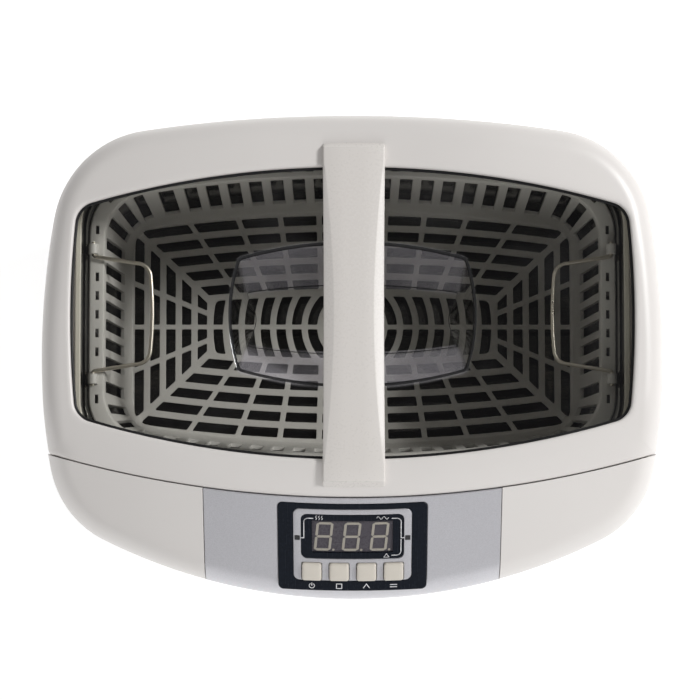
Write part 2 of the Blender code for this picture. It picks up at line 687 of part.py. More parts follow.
# ---------------------------------------------------------------- lid

def lid_top(fall):
    return lambda x, y: dome(x, y) - fall


def lid_skin(fall):
    return lambda x, y: skin(x, y) - fall


def build_lid(mats):
    rings = [ring(plan(LID, 0.0005), LID_Z), ring(plan(LID, 0.0005), lid_skin(0.0010))]
    rings += [ring(plan(LID, i), lid_skin(0.0)) for i in (0.0011, 0.0029, 0.0056, 0.0084)]
    for out, fall in ((0.0030, 0.0), (0.0004, 0.0006), (0.0, 0.0014), (0.0, 0.0030), (0.0065, 0.0030),
                      (0.0070, 0.0055)):
        rings.append(ring(plan(OPENING, -out), lid_top(fall)))
    rings += [ring(plan(LID, 0.0040), lid_top(0.0120)), ring(plan(LID, 0.0028), LID_Z + 0.008),
              ring(plan(LID, 0.0026), LID_Z)]
    frame = loft("lid_frame", rings, mats["white"])
    cut(frame, box("hinge_relief", (-0.084, 0.084), (0.094, 0.115), (0.140, HINGE_Z)))
    for side in (-1, 1):
        x = side * HINGE_X
        cut(frame, box("ear_relief", (x - 0.0106, x + 0.0106), (0.094, 0.115), (0.150, HINGE_Z + 0.0037)))
    fuse(frame, centre_bar())
    for side in (-1, 1):
        fuse(frame, lid_knuckle(side * HINGE_X))
    build_window(mats["clear"])
    seal = [ring(plan(OPENING, -0.0058), lid_top(0.0090)), ring(plan(OPENING, -0.0058), lid_top(0.0066)),
            ring(plan(OPENING, -0.0010), lid_top(0.0066)), ring(plan(OPENING, -0.0010), lid_top(0.0090))]
    loft("window_seal", seal, mats["rubber"])
    for side, name in ((-1, "left"), (1, "right")):
        pin = tube("hinge_pin_" + name, (side * HINGE_X - 0.0105, HINGE_Y, HINGE_Z),
                   (side * HINGE_X + 0.0105, HINGE_Y, HINGE_Z), 0.0015, mats["steel"], 16)
        pin.data.shade_smooth()


def lid_knuckle(x):
    half = 0.0050
    ear = hinge_ear("knuckle", x, half, 0.1400)
    upside_down = Matrix.Scale(-1, 4, (0, 0, 1))
    ear.data.transform(Matrix.Translation((0, 0, 2 * HINGE_Z)) @ upside_down)
    ear.data.flip_normals()
    return ear


def centre_bar():
    """Raised grip bar across the window, with a lens-shaped facet down each long edge."""
    half, crown, steps = 0.0138, 0.0030, 16
    rings = []
    for k in range(steps + 1):
        t = k / steps
        y = BAR_FRONT + (BAR_REAR - BAR_FRONT) * t
        swell = math.sin(math.pi * t)
        facet, fall = 0.0005 + 0.0042 * swell, 0.0004 + 0.0022 * swell
        end = 0.30 if k in (0, steps) else 1.0
        section = ((-half, -0.0024), (-half, crown - fall), (facet - half, crown), (half - facet, crown),
                   (half, crown - fall), (half, -0.0024))
        rings.append([(BAR_X + u, y, dome(0.0, y) + (h if h < 0 else h * end)) for u, h in section])
    return loft("bar", rings, None, True, True)


def build_window(mat):
    """Clear moulding with the finger well drawn down under the bar."""
    depth = CROWN_Z - 0.0325
    levels = (
        (WELL, 0.0150, depth), (WELL, 0.0108, depth + 0.0005), (WELL, 0.0010, CROWN_Z - 0.0090),
        (WELL, -0.0012, lid_top(0.0040)), (WELL, -0.0030, lid_top(0.0034)),
        (OPENING, 0.0080, lid_top(0.0034)), (OPENING, -0.0060, lid_top(0.0034)),
        (OPENING, -0.0060, lid_top(0.0057)), (OPENING, 0.0080, lid_top(0.0057)),
        (WELL, -0.0042, lid_top(0.0057)), (WELL, -0.0032, lid_top(0.0062)),
        (WELL, -0.0012, CROWN_Z - 0.0100), (WELL, 0.0096, depth - 0.0016), (WELL, 0.0150, depth - 0.0020))
    rings = [ring(plan(shape, inset), height) for shape, inset, height in levels]
    loft("lid_window", rings, mat, True, True)


# ---------------------------------------------------------------- basket

def build_basket(mats):
    floor, wall = BASKET_FLOOR_Z, 0.0018
    inner = (
        (0.0500, 0.0200, 0.0050, floor + wall), (0.1056, 0.0556, 0.0160, floor + wall),
        (0.1072, 0.0572, 0.0175, floor + 0.0036), (0.1090, 0.0592, 0.0192, floor + 0.0110),
        (0.1130, 0.0630, 0.0210, RIM_Z - 0.0080), (0.1138, 0.0638, 0.0212, RIM_Z - 0.0015),
        (0.1144, 0.0644, 0.0215, RIM_Z), (0.1208, 0.0694, 0.0238, RIM_Z))
    outer = (
        (0.1212, 0.0698, 0.0242, RIM_Z - 0.0022), (0.1160, 0.0658, 0.0228, RIM_Z - 0.0022),
        (0.1150, 0.0649, 0.0228, RIM_Z - 0.0080), (0.1108, 0.0610, 0.0210, floor + 0.0104),
        (0.1088, 0.0588, 0.0190, floor + 0.0026), (0.1064, 0.0564, 0.0170, floor),
        (0.0500, 0.0200, 0.0050, floor))
    rings = [ring(tray(a, b, r), z) for a, b, r, z in inner + outer]
    basket = loft("basket", rings, mats["grey"], True, True)
    cut(basket, join_cutters("wall_slots", wall_slots()))
    cut(basket, join_cutters("floor_slots", floor_slots()))
    for side in (-1, 1):
        for end in (-1, 1):
            fuse(basket, handle_lug(side, end))
    for side, name in ((-1, "left"), (1, "right")):
        build_handle(side, name, mats["steel"])


def wall_slot(x, y, angle, half):
    """Upright slot cutter through the wall at (x, y), whose way out of the basket is at the given angle."""
    reach, low, high = 0.0075, BASKET_FLOOR_Z + 0.0125, RIM_Z - 0.0040
    c, s = math.cos(angle), math.sin(angle)
    corners = ((-reach, -half), (reach, -half), (reach, half), (-reach, half))
    return prism("slot", [(x + u * c - v * s, TANK_Y + y + u * s + v * c) for u, v in corners], low, high)


def wall_slots():
    """Slots of one quarter, and their mirror images: long wall, corner and end wall."""
    quarter = []
    for n in range(8):
        x = 0.0100 * (n + 0.5)
        quarter.append((x, 0.0618 - x * x / (2 * TRAY_BOW), math.pi / 2, 0.0030))
    quarter.append((0.0862, 0.0560, math.pi / 2 - 0.10, 0.0036))
    for turn in (0.38, 0.78, 1.18):
        quarter.append((0.0908 + 0.0203 * math.cos(turn), 0.0350 + 0.0203 * math.sin(turn), turn, 0.0023))
    quarter += [(0.1113, y, 0.0, 0.0026) for y in SIDE_SLOTS]
    slots = []
    for x, y, turn, half in quarter:
        for sx in (-1, 1):
            for sy in (-1, 1):
                way_out = math.atan2(sy * math.sin(turn), sx * math.cos(turn))
                slots.append(wall_slot(sx * x, sy * y, way_out, half))
    return slots


def rib_x(n, r):
    """Where radial rib n crosses the ring r out from the middle line."""
    at, spread = RIBS[n]
    return at + (r - 0.052) * spread


def row_slot(k, n):
    """Slot of front or rear row k between radial ribs n and n + 1."""
    halves = (CENTRE_RIB_HALF,) + (RIB_HALF,) * 4 + (CORNER_RIB_HALF,)
    r1 = ROW_OUTER - ROW_PITCH * k
    r0 = r1 - RING_SLOT
    ends = [(rib_x(n, r) + halves[n], r, rib_x(n + 1, r) - halves[n + 1]) for r in (r0, r1)]
    points = [(ends[0][0], r0), (ends[0][2], r0), (ends[1][2], r1), (ends[1][0], r1)]
    if k == 0 and n == 4:
        points = round_corner(points, 2, 0.0075)
    return [(x, r - ROW_BOW * x * x) for x, r in points]


def side_rib_y(x):
    return 0.0077 + 0.41 * (x - 0.0727)


def corner_rib_edge(x):
    return 0.0153 + 0.945 * (x - 0.0717) - CORNER_RIB_HALF


def column_slots(k):
    """The two slots of end column k: from the middle rib to the side rib, and on to the corner rib."""
    x1 = COLUMN_OUTER - COLUMN_PITCH * k
    x0 = x1 - RING_SLOT
    near, far = side_rib_y(x0), side_rib_y(x1)
    middle = [(x0, CENTRE_RIB_HALF), (x1, CENTRE_RIB_HALF), (x1, far - RIB_HALF), (x0, near - RIB_HALF)]
    upper = [(x0, near + RIB_HALF), (x1, far + RIB_HALF)]
    upper += [(x1, corner_rib_edge(x1)), (x0, corner_rib_edge(x0))]
    return [middle, round_corner(upper, 2, 0.0075) if k == 0 else upper]


def ring_slot(k, steps=3):
    """Slot of inner column k: part of a round ring about the basket's middle."""
    r1 = COLUMN_OUTER - COLUMN_PITCH * k
    r0 = r1 - RING_SLOT
    sides = []
    for r in (r1, r0):
        top = min(0.0153 - ROW_BOW * r * r * 0.8, math.sqrt(r * r - CENTRE_RIB_HALF ** 2))
        ys = [CENTRE_RIB_HALF + (top - CENTRE_RIB_HALF) * i / steps for i in range(steps + 1)]
        sides.append([(math.sqrt(r * r - y * y), y) for y in ys])
    return sides[0] + sides[1][::-1]


def round_corner(points, index, radius, steps=2):
    """Outline with one corner rounded."""
    p, a, b = points[index], points[index - 1], points[(index + 1) % len(points)]
    start, end = toward(p, a, radius), toward(p, b, radius)
    arc = []
    for i in range(steps + 1):
        t = i / steps
        a, b, c = (1 - t) ** 2, 2 * t * (1 - t), t * t
        arc.append(tuple(a * u + b * v + c * w for u, v, w in zip(start, p, end)))
    return points[:index] + arc + points[index + 1:]


def toward(p, q, distance):
    """The point at that distance from p on the way to q, and no further than half-way."""
    size = math.hypot(q[0] - p[0], q[1] - p[1])
    t = min(distance / size, 0.5)
    return (p[0] + (q[0] - p[0]) * t, p[1] + (q[1] - p[1]) * t)


def floor_slots():
    """Web pattern: slots between bowed rows, end columns and round inner rings."""
    outlines = [row_slot(k, n) for k in range(5) for n in range(5)]
    for k in range(5):
        outlines += column_slots(k)
    outlines += [ring_slot(k) for k in range(5, 13)]
    return [slot for outline in outlines for slot in mirrored_slots(outline)]


def mirrored_slots(outline):
    z0, z1 = BASKET_FLOOR_Z - 0.001, BASKET_FLOOR_Z + 0.0045
    made = []
    for sx in (-1, 1):
        for sy in (-1, 1):
            made.append(prism("slot", [(sx * x, TANK_Y + sy * y) for x, y in outline], z0, z1))
    return made


def handle_lug(side, end):
    """Post on the rim with the eye that a wire's end turns in."""
    y0 = TANK_Y + end * (HANDLE_HALF + 0.0014)
    y1 = TANK_Y + end * (HANDLE_HALF + 0.0060)
    x, half = side * PIVOT_X, 0.0022
    post = box("lug", (x - half, x + half), (min(y0, y1), max(y0, y1)), (RIM_Z - 0.0012, PIVOT_Z + 0.0024))
    start, stop = (x, y0 - end * 0.003, PIVOT_Z), (x, y1 + end * 0.003, PIVOT_Z)
    return cut(post, tube("eye", start, stop, WIRE_R + 0.00006, None, 12))


def handle_path():
    """Half of the wire's centre line from its end to the middle of the grip: reach inward, and half width."""
    corner, steps, stub = 0.0065, 5, HANDLE_HALF + 0.0050
    far, narrow = HANDLE_REACH, HANDLE_HALF - HANDLE_TAPER
    path = [(0.0, stub), (0.0, HANDLE_HALF + 0.0008), (0.0012, HANDLE_HALF)]
    for i in range(steps + 1):
        a = math.pi / 2 * i / steps
        path.append((far - corner + corner * math.sin(a), narrow - corner + corner * math.cos(a)))
    return path


def build_handle(side, name, mat):
    """Bent wire: a stub in each lug, two arms and the grip, folded flat over the basket."""
    sides = 8
    path = handle_path()
    path += [(u, -v) for u, v in reversed(path)]
    rings = []
    for i, (u, v) in enumerate(path):
        a, b = path[max(i - 1, 0)], path[min(i + 1, len(path) - 1)]
        tu, tv = b[0] - a[0], b[1] - a[1]
        size = math.hypot(tu, tv)
        nu, nv = -tv / size, tu / size
        section = []
        for t in [2 * math.pi * k / sides for k in range(sides)]:
            out, up = WIRE_R * math.cos(t), WIRE_R * math.sin(t)
            section.append((-side * (u + nu * out), v + nv * out, up))
        rings.append(section)
    handle = loft("handle_" + name, rings, mat, True, True)
    handle.location = (side * PIVOT_X, TANK_Y, PIVOT_Z)
    return handle


def build_materials():
    white = material("white_plastic", (0.80, 0.79, 0.77), 0.0, 0.35)
    return {
        "white": white,
        "silver": material("silver_plastic", (0.46, 0.46, 0.48), 0.3, 0.35),
        "navy": material("control_film", (0.012, 0.017, 0.028), 0.0, 0.3),
        "lens": material("display_lens", (0.05, 0.045, 0.06), 0.0, 0.1, 0.6),
        "dark": material("dark_plastic", (0.03, 0.03, 0.033), 0.0, 0.5),
        "lamp": material("lamp_plastic", (0.75, 0.72, 0.62), 0.0, 0.3),
        "button": material("button_plastic", (0.66, 0.62, 0.54), 0.0, 0.45),
        "board": material("board_green", (0.02, 0.16, 0.07), 0.0, 0.5),
        "steel": material("stainless_steel", (0.62, 0.61, 0.60), 1.0, 0.25),
        "rubber": material("black_rubber", (0.015, 0.015, 0.016), 0.0, 0.8),
        "heater": material("heater_silicone", (0.45, 0.10, 0.05), 0.0, 0.7),
        "brass": material("sensor_brass", (0.60, 0.45, 0.18), 1.0, 0.35),
        "aluminium": material("aluminium", (0.70, 0.71, 0.72), 1.0, 0.4),
        "ceramic": material("piezo_ceramic", (0.35, 0.30, 0.25), 0.0, 0.6),
        "zinc": material("zinc_steel", (0.50, 0.50, 0.49), 1.0, 0.4),
        "copper": material("copper_winding", (0.55, 0.22, 0.08), 0.8, 0.4),
        "relay": material("relay_blue", (0.03, 0.12, 0.40), 0.0, 0.4),
        "capacitor": material("capacitor_yellow", (0.70, 0.50, 0.08), 0.0, 0.5),
        "cable": material("cable_grey", (0.40, 0.40, 0.42), 0.0, 0.6),
        "clear": material("smoked_clear", (0.72, 0.74, 0.72), 0.0, 0.08, 0.3),
        "grey": material("grey_plastic", (0.20, 0.20, 0.21), 0.0, 0.5),
    }


def main():
    clear_scene()
    mats = build_materials()
    build_upper_shell(mats["white"])
    build_lower_shell(mats["white"])
    build_panel(mats)
    build_tank(mats)
    build_inside(mats)
    build_base(mats)
    build_lid(mats)
    build_basket(mats)


main()
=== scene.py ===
"""Looks for the bench-top ultrasonic cleaner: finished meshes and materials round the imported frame."""

import math

import bmesh
import bpy
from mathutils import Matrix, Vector


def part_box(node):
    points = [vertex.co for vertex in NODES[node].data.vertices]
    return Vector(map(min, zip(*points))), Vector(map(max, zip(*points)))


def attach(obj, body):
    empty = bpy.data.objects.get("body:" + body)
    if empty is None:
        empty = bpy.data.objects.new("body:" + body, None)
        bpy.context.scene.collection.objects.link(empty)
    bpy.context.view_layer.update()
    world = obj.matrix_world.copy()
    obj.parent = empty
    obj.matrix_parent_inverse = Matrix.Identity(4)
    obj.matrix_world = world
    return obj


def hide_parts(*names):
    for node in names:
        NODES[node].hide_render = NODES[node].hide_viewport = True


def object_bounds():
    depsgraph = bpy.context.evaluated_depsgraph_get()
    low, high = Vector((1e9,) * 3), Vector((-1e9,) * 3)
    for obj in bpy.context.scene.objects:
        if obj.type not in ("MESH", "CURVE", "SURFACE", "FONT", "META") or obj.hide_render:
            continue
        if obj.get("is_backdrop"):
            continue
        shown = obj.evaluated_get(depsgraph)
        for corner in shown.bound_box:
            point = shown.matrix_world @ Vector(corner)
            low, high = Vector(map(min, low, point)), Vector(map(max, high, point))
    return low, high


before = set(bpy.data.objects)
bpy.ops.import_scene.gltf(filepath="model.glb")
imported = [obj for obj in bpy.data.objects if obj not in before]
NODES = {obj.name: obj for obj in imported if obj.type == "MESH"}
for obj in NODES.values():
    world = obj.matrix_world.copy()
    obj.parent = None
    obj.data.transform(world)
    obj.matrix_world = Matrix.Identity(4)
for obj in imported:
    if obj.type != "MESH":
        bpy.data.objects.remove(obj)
CAD_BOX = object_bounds()

# ---------------------------------------------------------------- driving dimensions, in metres

# Plan shapes: half width, front y, rear y, radii of side, front, rear, front corner, rear corner,
# and the y of the side arc's centre.
BODY = (0.140, -0.1082, 0.1085, 0.3634, 0.2534, 0.6993, 0.0425, 0.0475, 0.002)
LID = (0.1396, -0.063, 0.1081, 0.363, 0.480, 0.6989, 0.003, 0.0471, 0.002)
POCKET = (0.1405, -0.0632, 0.1090, 0.3639, 0.4802, 0.6998, 0.0032, 0.0480, 0.002)
OPENING = (0.126, -0.0463, 0.084, 0.42, 0.411, 0.452, 0.010, 0.010, 0.019)
WELL = (0.0546, -0.0137, 0.0503, 0.077, 0.182, 0.182, 0.003, 0.003, 0.0183)
TANK_Y, TRAY_BOW = 0.022, 0.62
TANK_MOUTH = (0.1251, 0.0735, 0.0252)
SEAM_R, SEAM_Y = 0.480, -0.063
SEAM_CENTRE_Y = SEAM_Y + SEAM_R
EDGE_R = 0.010

SHELL_BOTTOM, SPLIT_Z, DECK_Z, LID_Z = 0.0045, 0.070, 0.145, 0.1455
CROWN_Z, FLAT_HALF = 0.1805, 0.035
SIDE_DROP, SIDE_DROP_X = 0.0075, 0.126
FRONT_FALL_WIDTH, FRONT_FALL_SLOPE = 0.026, 0.60
APRON_SLOPE, APRON_CURVE = 0.56, 0.9
PANEL_MID = 0.0222
PANEL_TILT = math.atan(APRON_SLOPE + 2 * APRON_CURVE * PANEL_MID)
FASCIA_HALF, FASCIA_T = 0.0663, 0.002

RIM_Z, BASKET_FLOOR_Z = 0.1355, 0.066
PIVOT_X, PIVOT_Z = 0.1188, 0.1380
HANDLE_HALF, HANDLE_TAPER, HANDLE_REACH, WIRE_R = 0.0262, 0.0030, 0.0272, 0.0009
BAR_X, BAR_FRONT, BAR_REAR, BAR_FOOT = 0.0006, -0.0585, 0.0945, -0.0026

# Basket floor: rings of slots and ribs that fan out to the corners. Each rib is its x at the ring
# 52 mm out, and its spread per metre of ring distance.
RING_SLOT, ROW_OUTER, ROW_PITCH, ROW_BOW = 0.0046, 0.0543, 0.00775, 0.70
COLUMN_OUTER, COLUMN_PITCH = 0.1052, 0.0076
RIBS = ((0.0, 0.0), (0.0160, 0.03), (0.0346, 0.15), (0.0543, 0.37), (0.0770, 0.635), (0.1028, 0.941))
RIB_HALF, CORNER_RIB_HALF, CENTRE_RIB_HALF = 0.0013, 0.0021, 0.0011
SLOT_RADIUS, CORNER_RADII = 0.0006, (0.0075, 0.0016, 0.0008, 0.0008, 0.0008)
SIDE_SLOTS = (0.00435, 0.0130, 0.0217, 0.0332)
RIM_CUT = (RIM_Z - 0.004, RIM_Z + 0.002)
HINGE_X, HINGE_Y, HINGE_Z = 0.070, 0.1005, 0.1545
EAR_OFFSET, EAR_HALF, KNUCKLE_HALF = 0.0076, 0.0022, 0.0050
SPLASH_RIBS = ((-0.0835, -0.0792), (-0.0610, 0.0610), (0.0792, 0.0835))
RELIEF_HALF, RELIEF_Y, EAR_RELIEF = 0.084, (0.094, 0.115), 0.0106

FOIL_X, FOIL_Y = (-0.024, 0.024), (-0.010, 0.020)

BUTTON_X = (-0.0183, -0.0060, 0.0063, 0.0185)
BUTTON_NAMES = ("on", "off", "set", "mode")
BUTTON_HALF, BUTTON_V = 0.0044, -0.0123
# Rounded rectangles on the panel: low and high x, low and high v, corner radius.
OVERLAY = (-0.0334, 0.0334, -0.0224, 0.0224, 0.0024)
SURROUND = (-0.0264, 0.0264, -0.0170, 0.0196, 0.0028)
FIELD = (-0.0231, 0.0231, -0.0058, 0.0172, 0.0028)
PANEL_OPENING = (-0.0251, 0.0251, -0.0172, 0.0187, 0.0010)
GLASS = (-0.0181, 0.0181, -0.0026, 0.0137, 0.0003)
DISPLAY_BLOCK = (-0.0185, 0.0185, -0.0034, 0.0144, 0.0005)
DIGIT_PITCH, POINT_R, KEY_GAP, FINE_INK = 0.0125, 0.00055, 0.0003, 0.00026
LAMP_X, LAMP_V, LAMP_HALF = 0.0247, 0.0048, 0.0011
FINE = (26, 18, 24, 18, 26)
TRAY_FINE = (28, 14, 8, 14, 28)
SMOOTH_ANGLE = math.radians(32)


# ---------------------------------------------------------------- plan outlines and the outer skin

def corner_centre(c1, r1, c2, r2, prefer):
    """Centre of the arc that is tangent inside two larger arcs."""
    dx, dy = c2[0] - c1[0], c2[1] - c1[1]
    d = math.hypot(dx, dy)
    along = (r1 * r1 - r2 * r2 + d * d) / (2 * d)
    off = math.sqrt(max(r1 * r1 - along * along, 0.0))
    px, py = c1[0] + along * dx / d, c1[1] + along * dy / d
    options = [(px - off * dy / d, py + off * dx / d), (px + off * dy / d, py - off * dx / d)]
    return max(options, key=lambda p: p[0] + prefer * p[1])


def arcs_of(shape):
    """The five arcs of the right-hand half: centre, radius, start and end angle."""
    half, front, rear, r_side, r_front, r_rear, r_fc, r_rc, side_y = shape
    c_front, c_side, c_rear = (0, front + r_front), (half - r_side, side_y), (0, rear - r_rear)
    k_front = corner_centre(c_front, r_front - r_fc, c_side, r_side - r_fc, -1.0)
    k_rear = corner_centre(c_rear, r_rear - r_rc, c_side, r_side - r_rc, 1.0)
    turn = lambda c, p: math.atan2(p[1] - c[1], p[0] - c[0])
    t1, t2 = turn(c_front, k_front), turn(c_side, k_front)
    t3, t4 = turn(c_side, k_rear), turn(c_rear, k_rear)
    return ((c_front, r_front, -math.pi / 2, t1), (k_front, r_fc, t1, t2), (c_side, r_side, t2, t3),
            (k_rear, r_rc, t3, t4), (c_rear, r_rear, t4, math.pi / 2))


def plan(shape, inset=0.0, counts=FINE):
    """Closed plan outline, counter-clockwise from the middle of the front."""
    half, front, rear, r_side, r_front, r_rear, r_fc, r_rc, side_y = shape
    moved = (half - inset, front + inset, rear - inset, r_side - inset, r_front - inset, r_rear - inset,
             max(r_fc - inset, 0.001), max(r_rc - inset, 0.001), side_y)
    right = []
    for (centre, radius, a, b), count in zip(arcs_of(moved), counts):
        for i in range(count):
            t = a + (b - a) * i / count
            right.append((centre[0] + radius * math.cos(t), centre[1] + radius * math.sin(t)))
    return right + [(0.0, rear - inset)] + [(-x, y) for x, y in reversed(right[1:])]


def tray(half_x, half_y, radius, counts=TRAY_FINE):
    """Outline shared by tank and basket: straight ends, and long sides that bow out to half_y."""
    shape = (half_x, TANK_Y - half_y, TANK_Y + half_y, 4.0, TRAY_BOW, TRAY_BOW, radius, radius, TANK_Y)
    return plan(shape, 0.0, counts)


def dome(x, y):
    """Height of the outer skin: lid behind the seam, control apron in front of it."""
    rho = math.hypot(x, SEAM_CENTRE_Y - y) - SEAM_R
    side = max(abs(x) - FLAT_HALF, 0.0)
    z = CROWN_Z - SIDE_DROP * (side / (SIDE_DROP_X - FLAT_HALF)) ** 2
    z -= FRONT_FALL_SLOPE / (2 * FRONT_FALL_WIDTH) * max(0.0, FRONT_FALL_WIDTH + min(rho, 0.0)) ** 2
    if rho > 0:
        z -= APRON_SLOPE * rho + APRON_CURVE * rho * rho
    return z


BODY_ARCS = arcs_of(BODY)


def depth_inside(x, y):
    """Distance of a plan point inside the body's outline."""
    found = []
    for centre, radius, a, b in BODY_ARCS:
        angle = math.atan2(y - centre[1], abs(x) - centre[0])
        if a - 1e-6 <= angle <= b + 1e-6:
            found.append(radius - math.hypot(abs(x) - centre[0], y - centre[1]))
    return max(min(found), 0.0) if found else 0.0


def skin(x, y):
    """The dome with the shell's rounded outer edge."""
    d = depth_inside(x, y)
    if d >= EDGE_R:
        return dome(x, y)
    return dome(x, y) - EDGE_R + math.sqrt(max(EDGE_R ** 2 - (EDGE_R - d) ** 2, 0.0))


def between(a, b, t):
    """Point list part of the way from a to b."""
    return [tuple(p + (q - p) * t for p, q in zip(u, v)) for u, v in zip(a, b)]


def below(surface, fall):
    return lambda x, y: surface(x, y) - fall


def ring(points, height):
    return [(x, y, height(x, y) if callable(height) else height) for x, y in points]


# ---------------------------------------------------------------- mesh helpers

def placed(name, mesh, mat):
    """The mesh as a smooth-shaded object in the scene."""
    obj = bpy.data.objects.new(name, mesh)
    bpy.context.scene.collection.objects.link(obj)
    if mat:
        mesh.materials.append(mat)
    return smooth(obj)


def add_mesh(name, verts, faces, mat=None):
    """Closed surface from vertices and faces, with its normals turned outward."""
    mesh = bpy.data.meshes.new(name)
    mesh.from_pydata([tuple(v) for v in verts], [], faces)
    shape = bmesh.new()
    shape.from_mesh(mesh)
    bmesh.ops.recalc_face_normals(shape, faces=shape.faces)
    shape.to_mesh(mesh)
    shape.free()
    return placed(name, mesh, mat)


def smooth(obj, angle=SMOOTH_ANGLE):
    """Smooth shading, but for edges sharper than the angle."""
    obj.data.shade_smooth()
    obj.data.set_sharp_from_angle(angle=angle)
    return obj


def loft(name, rings, mat=None, capped=True):
    """Solid through rings of equal count. Without caps the last ring joins the first."""
    count = len(rings[0])
    verts = [p for r in rings for p in r]
    faces = []
    for k in range(len(rings) - 1 if capped else len(rings)):
        a, b = k * count, (k + 1) % len(rings) * count
        faces += [(a + i, a + (i + 1) % count, b + (i + 1) % count, b + i) for i in range(count)]
    if capped:
        last = (len(rings) - 1) * count
        faces += [tuple(reversed(range(count))), tuple(range(last, last + count))]
    return add_mesh(name, verts, faces, mat)


def prism(name, points, z0, z1, mat=None):
    return loft(name, [ring(points, z0), ring(points, z1)], mat)


def box(name, x, y, z, mat=None):
    points = [(x[0], y[0]), (x[1], y[0]), (x[1], y[1]), (x[0], y[1])]
    return prism(name, points, z[0], z[1], mat)


def grid_solid(name, top, low, columns, rows, mat=None):
    """Curved plate between two point grids."""
    count = (columns + 1) * (rows + 1)
    at = lambda i, j: i * (rows + 1) + j
    faces = []
    for i in range(columns):
        for j in range(rows):
            a, b, c, d = at(i, j), at(i, j + 1), at(i + 1, j + 1), at(i + 1, j)
            faces += [(a, b, c, d), (count + d, count + c, count + b, count + a)]
    edge = [at(i, 0) for i in range(columns)] + [at(columns, j) for j in range(rows)]
    edge += [at(i, rows) for i in range(columns, 0, -1)] + [at(0, j) for j in range(rows, 0, -1)]
    faces += [(b, a, count + a, count + b) for a, b in zip(edge, edge[1:] + edge[:1])]
    return add_mesh(name, top + low, faces, mat)


def arc(centre, radius, start, end, steps):
    """Points along an arc from start to end, in degrees, with both ends."""
    turns = [math.radians(start + (end - start) * i / steps) for i in range(steps + 1)]
    return [(centre[0] + radius * math.cos(t), centre[1] + radius * math.sin(t)) for t in turns]


def circle(centre, radius, sides):
    return arc(centre, radius, 0, 360, sides)[:-1]


def across(name, points, x0, x1):
    """Solid between two equal upright outlines of (y, z) points."""
    return loft(name, [[(x, y, z) for y, z in points] for x in (x0, x1)])


def lathe(name, centre, profile, mat=None, sides=40):
    """Turned solid about a vertical axis from (radius, height) pairs, closed at both ends."""
    return loft(name, [ring(circle(centre, r, sides), z) for r, z in profile], mat)


def tube(name, start, end, radius, mat=None, sides=24):
    """Round bar from start to end."""
    start, end = Vector(start), Vector(end)
    turn = (end - start).to_track_quat("Z", "Y").to_matrix()
    spin = lambda c: [tuple(c + turn @ Vector((x, y, 0))) for x, y in circle((0, 0), radius, sides)]
    return loft(name, [spin(start), spin(end)], mat)


def join(name, parts, mat=None):
    """One mesh from separate shapes."""
    verts, faces = [], []
    for part in parts:
        base = len(verts)
        verts += [part.matrix_world @ v.co for v in part.data.vertices]
        faces += [tuple(base + i for i in p.vertices) for p in part.data.polygons]
        bpy.data.objects.remove(part, do_unlink=True)
    mesh = bpy.data.meshes.new(name)
    mesh.from_pydata([tuple(v) for v in verts], [], faces)
    return placed(name, mesh, mat)


def apply_modifiers(obj):
    graph = bpy.context.evaluated_depsgraph_get()
    mesh = bpy.data.meshes.new_from_object(obj.evaluated_get(graph))
    obj.modifiers.clear()
    obj.data = mesh
    return smooth(obj)


def combine(target, tool, operation):
    made = target.modifiers.new(operation.lower(), "BOOLEAN")
    made.operation = operation
    made.object = tool
    made.solver = "EXACT"
    apply_modifiers(target)
    bpy.data.objects.remove(tool, do_unlink=True)
    return target


def cut(target, *tools):
    for tool in tools:
        combine(target, tool, "DIFFERENCE")
    return target


def fuse(target, *tools):
    for tool in tools:
        combine(target, tool, "UNION")
    return target


def bevel(obj, width, segments=3):
    made = obj.modifiers.new("edge", "BEVEL")
    made.width = width
    made.segments = segments
    made.limit_method = "ANGLE"
    made.angle_limit = math.radians(35)
    return obj


def stand_for(obj, body, slot, *nodes):
    """Rides on the body, and stands for the CAD nodes it is a finished version of."""
    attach(obj, body)
    if nodes:
        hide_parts(*nodes)
    return obj


# ---------------------------------------------------------------- materials

